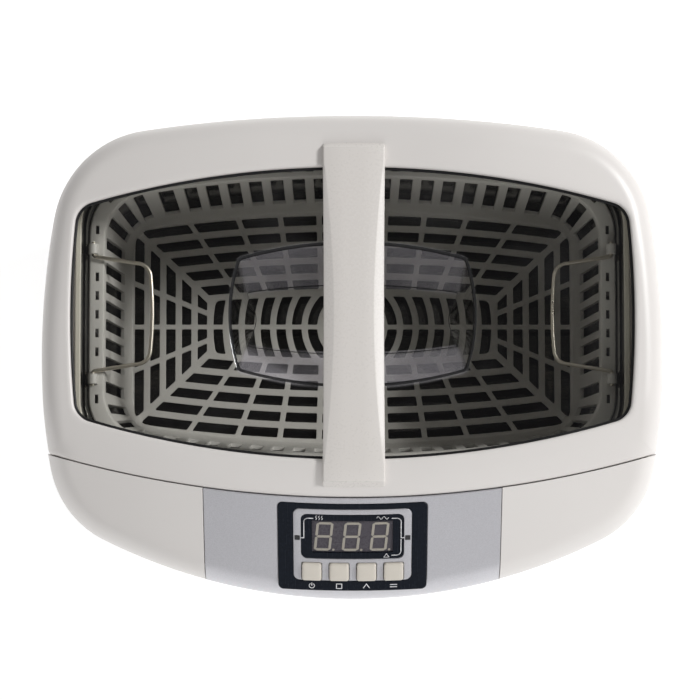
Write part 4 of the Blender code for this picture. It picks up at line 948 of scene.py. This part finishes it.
def build_lid(mats):
    """White frame with its hinge knuckles, grip bar, clear window and the bead that seals it."""
    plate = lambda fall: below(dome, fall)
    rings = [ring(plan(LID, 0.0010), LID_Z), ring(plan(LID, 0.0005), LID_Z + 0.0003)]
    rings += [ring(plan(LID, 0.0002), lambda x, y, t=t: LID_Z + 0.0010 + (skin(x, y) - 0.0022 - LID_Z) * t)
              for t in (0.0, 0.25, 0.5, 0.75, 1.0)]
    rings += [ring(plan(LID, i), below(skin, f)) for i, f in ((0.0003, 0.0006), (0.0006, 0.0002))]
    rings += [ring(plan(LID, i), skin) for i in (0.0012, 0.0022, 0.0033, 0.0046, 0.0060)]
    edge, lip = plan(LID, 0.0060), plan(OPENING, -0.0018)
    rings += [ring(between(edge, lip, k / 8), skin) for k in range(1, 9)]
    for out, fall in ((0.0010, 0.00015), (0.0005, 0.0004), (0.0001, 0.0009), (0.0, 0.0016), (0.0, 0.0030),
                      (0.0062, 0.0030), (0.0066, 0.0055)):
        rings.append(ring(plan(OPENING, -out), plate(fall)))
    rings += [ring(plan(LID, 0.0040), plate(0.0120)), ring(plan(LID, 0.0028), LID_Z + 0.008),
              ring(plan(LID, 0.0026), LID_Z)]
    lid = loft("lid_shell", rings, mats["white"], False)
    cut(lid, box("relief", (-RELIEF_HALF, RELIEF_HALF), RELIEF_Y, (0.140, HINGE_Z)))
    for side in (-1, 1):
        x = side * HINGE_X
        cut(lid, box("relief", (x - EAR_RELIEF, x + EAR_RELIEF), RELIEF_Y, (0.150, HINGE_Z + 0.0037)))
    fuse(lid, *[hinge_ear("knuckle", side * HINGE_X, KNUCKLE_HALF, 0.1400, True) for side in (-1, 1)])
    stand_for(lid, "lid", "white_plastic", "lid_frame")
    stand_for(centre_bar(mats["bar"]), "lid", "white_plastic")
    pane = stand_for(window(mats["clear"], mats["edge"]), "lid", "smoked_clear", "lid_window")
    pane.visible_shadow = False
    bead = [ring(plan(OPENING, 0.0012), plate(0.0033)), ring(plan(OPENING, 0.0011), plate(0.0027)),
            ring(plan(OPENING, 0.0006), plate(0.0023)), ring(plan(OPENING, 0.0001), plate(0.0024)),
            ring(plan(OPENING, -0.0004), plate(0.0033))]
    stand_for(loft("seal_bead", bead, mats["seal"], False), "lid", "black_rubber")


def centre_bar(mat):
    """Raised grip bar across the window, with a lens-shaped finger facet down each long edge."""
    steps, crown = 64, 0.0030
    rings = []
    for k in range(steps + 1):
        t = k / steps
        y = BAR_FRONT + (BAR_REAR - BAR_FRONT) * t
        swell = math.sin(math.pi * min(max((t - 0.06) / 0.88, 0.0), 1.0)) ** 0.9
        half, facet, fall = 0.0138 - 0.0004 * swell, 0.0005 + 0.0039 * swell, 0.0004 + 0.0018 * swell
        run = min(t, 1 - t) * (BAR_REAR - BAR_FRONT)
        lift = crown * min(1.0, math.sqrt(max(1 - (1 - min(run / 0.0035, 1.0)) ** 2, 0.0))) - 0.0002
        z = dome(0.0, y)
        low = max(lift - fall, -0.0024)
        section = [(-half, BAR_FOOT), (-half, low - 0.0003), (-half + 0.0002, low),
                   (-half + facet, lift - 0.0001), (-half + facet + 0.0004, lift),
                   (-half * 0.3, lift + 0.0002)]
        section += [(-u, h) for u, h in reversed(section)]
        rings.append([(BAR_X + u, y, z + max(h, BAR_FOOT)) for u, h in section])
    return smooth(loft("grip_bar", rings, mat), math.radians(20))


def well_floor(inset, z):
    """Outline of the finger well's floor: hollow ends where the end walls cut the trough."""
    mid_y, points = WELL[8], []
    for x, y in plan(WELL):
        across = abs(x) / WELL[0]
        along = min(1.0, abs(y - mid_y) / 0.0245)
        pull = 0.0110 + inset - (0.0075 - inset) * along ** 2
        fx = math.copysign(max(abs(x) - pull * across ** 3, 0.0), x)
        points.append((fx, mid_y + (y - mid_y) * (0.0155 - inset) / 0.0320, z))
    return points


def window(mat, edge):
    """Clear moulding with the finger well drawn down under the bar."""
    depth, t = CROWN_Z - 0.0325, 0.0020
    top = lambda inset, fall: ring(plan(WELL, inset), below(dome, fall))
    rim, floor = top(0.0008, 0.0052), well_floor(0.0, depth + 0.0008)
    rings = [well_floor(0.0110, depth), well_floor(0.0040, depth), well_floor(0.0008, depth + 0.0001), floor]
    rings += [between(floor, rim, s) for s in (0.03, 0.35, 0.65, 0.97)]
    rings += [rim, top(0.0002, 0.0043), top(-0.0006, 0.0037), top(-0.0018, 0.0034)]
    steps = 8
    outer, inner = plan(OPENING, -0.0060), plan(WELL, -0.0030)
    field = lambda s, fall: ring(between(inner, outer, s), below(dome, fall))
    rings += [field(k / steps, 0.0034) for k in range(steps + 1)]
    rings += [field(1.0 - k / steps, 0.0057) for k in range(steps + 1)]
    low_rim, low_floor = top(-0.0012, 0.0066), well_floor(-0.0008, depth + 0.0004 - t)
    rings += [low_rim] + [between(low_rim, low_floor, s) for s in (0.05, 0.5, 0.95)]
    rings += [low_floor, well_floor(0.0110, depth - t)]
    made = loft("window_moulding", rings, mat)
    # Three spans, at the well floor's edge and round the rim, take the near-black glaze: painted shade along
    # the bends.
    made.data.materials.append(edge)
    count = len(rim)
    for span in (3, 8, 9):
        for polygon in made.data.polygons[span * count:(span + 1) * count]:
            polygon.material_index = 1
    return smooth(made, math.radians(28))


# ---------------------------------------------------------------- basket, handles, tank

def build_basket(mats):
    """Moulded tray with slots in walls, rim and floor, and the two wire handles."""
    floor, wall = BASKET_FLOOR_Z, 0.0018
    inner = (
        (0.0500, 0.0200, 0.0050, floor + wall), (0.1000, 0.0500, 0.0130, floor + wall),
        (0.1056, 0.0556, 0.0160, floor + wall), (0.1064, 0.0564, 0.0167, floor + 0.0022),
        (0.1072, 0.0572, 0.0175, floor + 0.0036), (0.1080, 0.0581, 0.0184, floor + 0.0060),
        (0.1087, 0.0589, 0.0190, floor + 0.0095), (0.1092, 0.0594, 0.0194, floor + 0.0125),
        (0.1130, 0.0630, 0.0210, RIM_Z - 0.0080), (0.1137, 0.0637, 0.0212, RIM_Z - 0.0024),
        (0.1139, 0.0639, 0.0213, RIM_Z - 0.0010), (0.1144, 0.0644, 0.0216, RIM_Z - 0.0002),
        (0.1151, 0.0650, 0.0221, RIM_Z), (0.1200, 0.0687, 0.0233, RIM_Z),
        (0.1206, 0.0693, 0.0238, RIM_Z - 0.0002))
    outer = (
        (0.1211, 0.0697, 0.0242, RIM_Z - 0.0010), (0.1212, 0.0698, 0.0242, RIM_Z - 0.0022),
        (0.1160, 0.0658, 0.0228, RIM_Z - 0.0022), (0.1150, 0.0649, 0.0228, RIM_Z - 0.0080),
        (0.1108, 0.0610, 0.0210, floor + 0.0104), (0.1100, 0.0601, 0.0202, floor + 0.0056),
        (0.1088, 0.0588, 0.0190, floor + 0.0026), (0.1076, 0.0576, 0.0180, floor + 0.0007),
        (0.1064, 0.0564, 0.0170, floor), (0.0500, 0.0200, 0.0050, floor))
    basket = loft("basket_tray", [ring(tray(a, b, r), z) for a, b, r, z in inner + outer], mats["grey"])
    cut(basket, join("slots", wall_slots()), join("slots", rim_slots()), join("slots", floor_slots()))
    fuse(basket, *[handle_lug(side, end) for side in (-1, 1) for end in (-1, 1)])
    stand_for(basket, "basket", "grey_plastic", "basket")
    for side, name in ((-1, "left"), (1, "right")):
        build_handle(side, name, mats["wire"])


def soften(points, radius, steps=3):
    """Outline with every sharp corner rounded. The radius may be one number or one for each point."""
    made = []
    for i, p in enumerate(points):
        a, b = points[i - 1], points[(i + 1) % len(points)]
        u, v = (a[0] - p[0], a[1] - p[1]), (b[0] - p[0], b[1] - p[1])
        size_u, size_v = math.hypot(*u), math.hypot(*v)
        if (u[0] * v[0] + u[1] * v[1]) / (size_u * size_v) < -0.94:
            made.append(p)
            continue
        r = radius[i] if isinstance(radius, (list, tuple)) else radius
        s, t = min(r / size_u, 0.48), min(r / size_v, 0.48)
        start, end = (p[0] + u[0] * s, p[1] + u[1] * s), (p[0] + v[0] * t, p[1] + v[1] * t)
        for f in [k / steps for k in range(steps + 1)]:
            weights = ((1 - f) ** 2, 2 * f * (1 - f), f * f)
            made.append(tuple(sum(w * c for w, c in zip(weights, xs)) for xs in zip(start, p, end)))
    return made


def wall_slot(x, y, angle, half):
    """Upright slot cutter through the wall at (x, y), whose way out of the basket is at the given angle."""
    reach, low, high = 0.0075, BASKET_FLOOR_Z + 0.0125, RIM_Z - 0.0040
    outline = soften([(-half, low), (half, low), (half, high), (-half, high)], SLOT_RADIUS, 2)
    c, s = math.cos(angle), math.sin(angle)
    return loft("slot", [[(x + u * c - v * s, TANK_Y + y + u * s + v * c, z) for v, z in outline]
                         for u in (-reach, reach)])


def wall_slots():
    """Slots of one quarter, and their mirror images: long wall, corner and end wall."""
    quarter = []
    for n in range(8):
        x = 0.0100 * (n + 0.5)
        quarter.append((x, 0.0618 - x * x / (2 * TRAY_BOW), math.pi / 2, 0.0030))
    quarter.append((0.0862, 0.0560, math.pi / 2 - 0.10, 0.0036))
    for turn in (0.38, 0.78, 1.18):
        quarter.append((0.0908 + 0.0203 * math.cos(turn), 0.0350 + 0.0203 * math.sin(turn), turn, 0.0023))
    quarter += [(0.1113, y, 0.0, 0.0026) for y in SIDE_SLOTS]
    slots = []
    for x, y, turn, half in quarter:
        for sx in (-1, 1):
            for sy in (-1, 1):
                way_out = math.atan2(sy * math.sin(turn), sx * math.cos(turn))
                slots.append(wall_slot(sx * x, sy * y, way_out, half))
    return slots


def rim_slot(x, y, half_x, half_y):
    return box("slot", (x - half_x, x + half_x), (y - half_y, y + half_y), RIM_CUT)


def rim_slots():
    """Small drain slots through the rim, clear of the handle lugs."""
    slots = []
    for side in (-1, 1):
        for y in (-0.039, -0.0173, -0.00865, 0.0, 0.00865, 0.0173, 0.039):
            slots.append(rim_slot(side * 0.1173, TANK_Y + y, 0.0008, 0.0020))
        for n in range(9):
            x = 0.0100 * n
            y = TANK_Y + side * (0.0673 - x * x / (2 * TRAY_BOW))
            for sx in (-1, 1) if n else (1,):
                slots.append(rim_slot(sx * x, y, 0.0020, 0.0008))
        for sx in (-1, 1):
            slots.append(corner_slot(sx, side))
    return slots


def corner_slot(sx, sy):
    """The rim's drain slot on the corner's diagonal."""
    c, s = math.cos(0.80), math.sin(0.80)
    mid_x, mid_y = 0.0962 + 0.0205 * c, 0.0386 + 0.0205 * s
    corners = [(mid_x + u * c - v * s, mid_y + u * s + v * c)
               for u, v in ((-0.0008, -0.0020), (0.0008, -0.0020), (0.0008, 0.0020), (-0.0008, 0.0020))]
    return prism("slot", [(sx * x, TANK_Y + sy * y) for x, y in corners], *RIM_CUT)


def rib_x(n, r):
    """Where radial rib n crosses the ring r out from the middle line."""
    at, spread = RIBS[n]
    return at + (r - 0.052) * spread


def row_slot(k, n, steps=4):
    """Slot of front or rear row k between radial ribs n and n + 1, bowed like the basket's long side."""
    halves = (CENTRE_RIB_HALF,) + (RIB_HALF,) * 4 + (CORNER_RIB_HALF,)
    r1 = ROW_OUTER - ROW_PITCH * k
    r0 = r1 - RING_SLOT
    (a0, b0), (a1, b1) = [(rib_x(n, r) + halves[n], rib_x(n + 1, r) - halves[n + 1]) for r in (r0, r1)]
    points = [(a0 + (b0 - a0) * i / steps, r0) for i in range(steps + 1)]
    points += [(b1 + (a1 - b1) * i / steps, r1) for i in range(steps + 1)]
    radii = [SLOT_RADIUS] * len(points)
    if n == 4:
        radii[steps + 1] = CORNER_RADII[k]
        points = [p for i, p in enumerate(points) if i != steps + 2 or k > 0]
        radii = radii[:len(points)]
    return soften([(x, r - ROW_BOW * x * x) for x, r in points], radii)


def column_slots(k):
    """The two slots of end column k: from the middle rib to the side rib, and on to the corner rib."""
    x1 = COLUMN_OUTER - COLUMN_PITCH * k
    x0 = x1 - RING_SLOT
    side = lambda x: 0.0077 + 0.41 * (x - 0.0727)
    corner = lambda x: 0.0153 + 0.945 * (x - 0.0717) - CORNER_RIB_HALF
    middle = [(x0, CENTRE_RIB_HALF), (x1, CENTRE_RIB_HALF), (x1, side(x1) - RIB_HALF),
              (x0, side(x0) - RIB_HALF)]
    upper = [(x0, side(x0) + RIB_HALF), (x1, side(x1) + RIB_HALF), (x1, corner(x1)), (x0, corner(x0))]
    radii = [SLOT_RADIUS, SLOT_RADIUS, CORNER_RADII[k], SLOT_RADIUS]
    return [soften(middle, SLOT_RADIUS), soften(upper, radii, 5)]


def ring_slot(k, steps=8):
    """Slot of inner column k: part of a round ring about the basket's middle."""
    r1 = COLUMN_OUTER - COLUMN_PITCH * k
    r0 = r1 - RING_SLOT
    sides = []
    for r in (r1, r0):
        top = min(0.0153 - ROW_BOW * r * r * 0.8, math.sqrt(r * r - CENTRE_RIB_HALF ** 2))
        ys = [CENTRE_RIB_HALF + (top - CENTRE_RIB_HALF) * i / steps for i in range(steps + 1)]
        sides.append([(math.sqrt(r * r - y * y), y) for y in ys])
    points = sides[0] + sides[1][::-1]
    radii = [SLOT_RADIUS] * len(points)
    if k == 5:
        radii[steps] = 0.0040
        points = [p for i, p in enumerate(points) if i not in (steps - 1, steps - 2)]
        radii = [r for i, r in enumerate(radii) if i not in (steps - 1, steps - 2)]
    return soften(points, radii)


def floor_slots():
    """Web pattern: slots between bowed rows, end columns and round inner rings."""
    outlines = [row_slot(k, n) for k in range(5) for n in range(5)]
    for k in range(5):
        outlines += column_slots(k)
    outlines += [ring_slot(k) for k in range(5, 13)]
    return [slot for outline in outlines for slot in mirrored_slots(outline)]


def mirrored_slots(outline):
    """The four cutters that one quarter's outline stands for."""
    z0, z1 = BASKET_FLOOR_Z - 0.001, BASKET_FLOOR_Z + 0.0045
    return [prism("slot", [(sx * x, TANK_Y + sy * y) for x, y in outline], z0, z1)
            for sx in (-1, 1) for sy in (-1, 1)]


def handle_lug(side, end):
    """Post with a round top and the eye that holds the wire."""
    y0, y1 = TANK_Y + end * (HANDLE_HALF + 0.0014), TANK_Y + end * (HANDLE_HALF + 0.0060)
    x, half, low = side * PIVOT_X, 0.0022, RIM_Z - 0.0012
    outline = arc((x, PIVOT_Z), half, 0, 180, 12) + [(x - half, low), (x + half, low)]
    post = loft("lug", [[(a, y, b) for a, b in outline] for y in (min(y0, y1), max(y0, y1))])
    out = end * 0.003
    return cut(post, tube("eye", (x, y0 - out, PIVOT_Z), (x, y1 + out, PIVOT_Z), 0.00098, None, 16))


def build_handle(side, name, mat):
    """Bent wire: a stub in each lug, two arms that lean together and a slightly bowed grip."""
    corner, steps, sides = 0.0065, 10, 14
    stub, far, turn = HANDLE_HALF + 0.0068, HANDLE_REACH, 0.0014
    narrow = HANDLE_HALF - HANDLE_TAPER
    bow, straight = 0.0008, narrow - corner
    path = [(0.0, stub)] + arc((turn, HANDLE_HALF + turn), turn, 180, 270, 5)
    path += arc((far - bow - corner, straight), corner, 90, 0, steps)
    path += [(far - bow * (v / straight) ** 2, v) for v in [straight * k / 5 for k in (4, 3, 2, 1)]]
    path += [(far, 0.0)] + [(u, -v) for u, v in reversed(path)]
    rings = []
    for i, (u, v) in enumerate(path):
        a, b = path[max(i - 1, 0)], path[min(i + 1, len(path) - 1)]
        tu, tv = b[0] - a[0], b[1] - a[1]
        size = math.hypot(tu, tv)
        nu, nv = -tv / size, tu / size
        rings.append([(side * (PIVOT_X - u - nu * a), TANK_Y + v + nv * a, PIVOT_Z + b)
                      for a, b in circle((0.0, 0.0), WIRE_R, sides)])
    handle = loft("wire_" + name, rings, mat)
    stand_for(handle, "handle_" + name, "stainless_steel", "handle_" + name)


def build_tank(mats):
    """Drawn steel tub with a stepped mouth, and a cream finish on top of its flange."""
    low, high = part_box("tank")
    bottom, deck = low.z, high.z - 0.0016
    inner = (
        (0.0600, 0.0200, 0.0100, bottom + 0.0010), (0.1060, 0.0544, 0.0160, bottom + 0.0010),
        (0.1095, 0.0579, 0.0182, bottom + 0.0015), (0.1116, 0.0600, 0.0196, bottom + 0.0028),
        (0.1131, 0.0615, 0.0206, bottom + 0.0055), (0.1140, 0.0624, 0.0212, bottom + 0.0090),
        (0.1162, 0.0646, 0.0218, bottom + 0.045), (0.1185, 0.0668, 0.0225, deck - 0.0142),
        (0.1188, 0.0670, 0.0226, deck - 0.0131), (0.1196, 0.0677, 0.0228, deck - 0.0124),
        (0.1221, 0.0703, 0.0235, deck - 0.0120), (0.1229, 0.0712, 0.0237, deck - 0.0116),
        (0.1232, 0.0716, 0.0238, deck - 0.0106), (0.1235, 0.0719, 0.0240, deck + 0.0004),
        (0.1237, 0.0721, 0.0241, deck + 0.0012), (0.1243, 0.0727, 0.0246, deck + 0.0016),
        (0.1259, 0.0741, 0.0261, deck + 0.0016), (0.1262, 0.0744, 0.0264, deck + 0.0014))
    outer = (
        (0.1262, 0.0744, 0.0264, deck + 0.0009), (0.1248, 0.0732, 0.0250, deck + 0.0008),
        (0.1242, 0.0726, 0.0246, deck - 0.0112), (0.1232, 0.0715, 0.0240, deck - 0.0130),
        (0.1198, 0.0680, 0.0234, deck - 0.0135), (0.1148, 0.0632, 0.0217, bottom + 0.0088),
        (0.1117, 0.0601, 0.0195, bottom + 0.0012), (0.0992, 0.0476, 0.0130, bottom))
    # The tub's dark steel is painted shade for its unlit inside.
    tank = loft("tank_shell", [ring(tray(a, b, r), z) for a, b, r, z in inner + outer], mats["steel"])
    tank.data.materials.append(mats["flange"])
    for polygon in tank.data.polygons:
        if polygon.center.z > deck + 0.0010:
            polygon.material_index = 1
    stand_for(tank, "housing", "stainless_steel", "tank")


# ---------------------------------------------------------------- base, back and the carried-over nodes

def build_feet(mats):
    """Rubber feet, each over its cross-slotted base screw."""
    for name in ("left_front", "left_rear", "right_front", "right_rear"):
        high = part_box("foot_" + name)[1]
        x, y, _ = centre_of("foot_" + name)
        profile = ((0.0030, 0.0008), (0.0034, 0.0002), (0.0038, 0.0), (0.0074, 0.0), (0.0081, 0.0003),
                   (0.0085, 0.0010), (0.0085, 0.0030), (0.0082, 0.0040), (0.0078, high.z))
        foot = lathe("pad_" + name, (x, y), profile, mats["rubber"])
        stand_for(foot, "housing", "black_rubber", "foot_" + name)
        low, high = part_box("base_screw_" + name)
        x, y, _ = centre_of("base_screw_" + name)
        z = low.z
        profile = ((0.0001, z), (0.0018, z + 0.0001), (0.0029, z + 0.0006), (0.0034, z + 0.0014),
                   (0.0034, z + 0.0018), (0.0016, z + 0.0019), (0.0016, high.z))
        screw = lathe("screw_" + name, (x, y), profile, mats["zinc"], 32)
        arms = [box("arm", (x - a, x + a), (y - b, y + b), (low.z - 0.001, low.z + 0.0010))
                for a, b in ((0.0018, 0.00032), (0.00032, 0.0018))]
        cut(screw, *arms)
        stand_for(screw, "housing", "zinc_steel", "base_screw_" + name)


def build_back(mats):
    """Fuse cap with its slot, and the blank rating foil under the base."""
    low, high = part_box("fuse_holder")
    x, _, z = centre_of("fuse_holder")
    y, radius = high.y, (high.x - low.x) / 2
    flange = radius * 1.10
    profile = ((radius * 0.9, low.y), (radius, low.y + 0.0004), (radius, y - 0.0042), (flange, y - 0.0040),
               (flange, y - 0.0012), (radius * 1.02, y - 0.0003), (radius * 0.90, y), (radius * 0.2, y))
    rings = [[(a, d, b) for a, b in circle((x, z), r, 36)] for r, d in profile]
    cap = loft("fuse_cap", rings, mats["dark"])
    cut(cap, box("slot", (x - 0.0045, x + 0.0045), (y - 0.0012, y + 0.002), (z - 0.0006, z + 0.0006)))
    stand_for(cap, "housing", "dark_plastic", "fuse_holder")
    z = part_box("base_plate")[0].z
    foil = box("rating_foil", FOIL_X, FOIL_Y, (z - 0.00012, z - 0.00002), mats["label"])
    stand_for(foil, "housing", "silver_plastic")
    left, top, line_pitch, line_height = -0.020, 0.0155, 0.0036, 0.0004
    rules = []
    for i, length in enumerate((0.030, 0.038, 0.034, 0.040, 0.022, 0.038)):
        y = top - line_pitch * i
        rules.append(box("rule", (left, left + length), (y, y + line_height), (z - 0.00018, z - 0.0001)))
    stand_for(join("rating_rules", rules, mats["navy"]), "housing", "control_film")


CARRIED = {
    "tank_gasket": "rubber", "window_seal": "seal", "base_plate": "zinc", "coil": "copper",
    "control_board": "board", "driver_board": "board", "fan_frame": "dark", "fan_impeller": "dark",
    "filter_capacitor": "yellow", "flat_cable": "cable", "heat_sink": "aluminium", "heater_mat": "heater",
    "power_inlet": "dark", "relay": "blue", "temperature_sensor": "brass", "hinge_pin_left": "wire",
    "hinge_pin_right": "wire",
}


def dress_carried_nodes(mats):
    """Materials, and eased edges on the boxier ones, for the CAD nodes that stay in view or inside."""
    wanted = dict(CARRIED)
    for name in BUTTON_NAMES:
        wanted["tact_switch_" + name] = "dark"
    for side in ("left", "right"):
        wanted.update({"transducer_horn_" + side: "aluminium", "transducer_piezo_" + side: "ceramic",
                       "transducer_mass_" + side: "zinc", "transducer_bolt_" + side: "zinc"})
    for node, key in wanted.items():
        obj = NODES[node]
        obj.data.materials.clear()
        obj.data.materials.append(mats[key])
        smooth(obj)
    for node in ("power_inlet", "fan_frame", "heat_sink", "relay"):
        bevel(NODES[node], 0.0003, 2)


# ---------------------------------------------------------------- stage

def build_stage():
    floor = add_mesh("floor", [(-3, -3, 0), (3, -3, 0), (3, 3, 0), (-3, 3, 0)], [(0, 1, 2, 3)])
    s = Shader("pale_floor")
    cloud = s.noise(3.0, 2.0)
    color = s.mix(s.remap(cloud, 0.3, 0.7, 0.0, 1.0), (0.74, 0.74, 0.74, 1), (0.77, 0.77, 0.77, 1))
    floor.data.materials.append(s.finish(Base_Color=color, Roughness=0.9, Specular_IOR_Level=0.1,
                                         Emission_Color=(1.0, 1.0, 1.0, 1.0), Emission_Strength=0.64))
    floor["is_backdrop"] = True
    bpy.context.scene.view_settings.view_transform = "Standard"
    build_world()
    area("key", (2.30, 0.93, 2.14), (0.0, 0.0, 0.12), 0.60, 68.0)
    area("front_fill", (0.15, -1.80, 1.20), (0.0, 0.0, 0.12), 1.2, 12.0).visible_glossy = False
    camera()


def build_world():
    """White room with a dark patch overhead, so that level shiny faces stay dark."""
    world = bpy.data.worlds.new("studio")
    bpy.context.scene.world = world
    world.use_nodes = True
    tree = world.node_tree
    up = tree.nodes.new("ShaderNodeSeparateXYZ")
    shade_up = tree.nodes.new("ShaderNodeMapRange")
    tree.links.new(tree.nodes.new("ShaderNodeTexCoord").outputs["Generated"], up.inputs[0])
    tree.links.new(up.outputs[2], shade_up.inputs["Value"])
    for key, value in (("From Min", 0.80), ("From Max", 0.93), ("To Min", 0.44), ("To Max", 0.03)):
        shade_up.inputs[key].default_value = value
    back = tree.nodes["Background"]
    back.inputs["Color"].default_value = (1.0, 1.0, 1.0, 1.0)
    tree.links.new(shade_up.outputs[0], back.inputs["Strength"])


def area(name, place, target, size, power):
    light = bpy.data.lights.new(name, "AREA")
    light.energy = power
    light.size = size
    obj = bpy.data.objects.new(name, light)
    bpy.context.scene.collection.objects.link(obj)
    obj.location = place
    obj.rotation_euler = (Vector(target) - Vector(place)).to_track_quat("-Z", "Y").to_euler()
    return obj


def camera():
    """Nearly overhead, a little from the front, with a long lens."""
    tilt, distance, frame_width = math.radians(4.5), 1.25, 0.3136
    aim = Vector((-0.0011, 0.0032, 0.165))
    data = bpy.data.cameras.new("camera")
    data.sensor_width = 36.0
    data.lens = 36.0 * distance / frame_width
    cam = bpy.data.objects.new("camera", data)
    bpy.context.scene.collection.objects.link(cam)
    cam.location = aim + Vector((0.0, -math.sin(tilt), math.cos(tilt))) * distance
    cam.rotation_euler = (tilt, 0.0, 0.0)
    bpy.context.scene.camera = cam


def main():
    mats = build_materials()
    build_upper_shell(mats["white"])
    build_lower_shell(mats["white"])
    build_panel(mats)
    build_lid(mats)
    build_basket(mats)
    build_tank(mats)
    build_feet(mats)
    build_back(mats)
    dress_carried_nodes(mats)
    build_stage()


main()
sizes = {"cad": [list(corner) for corner in CAD_BOX], "visual": [list(corner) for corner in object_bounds()]}
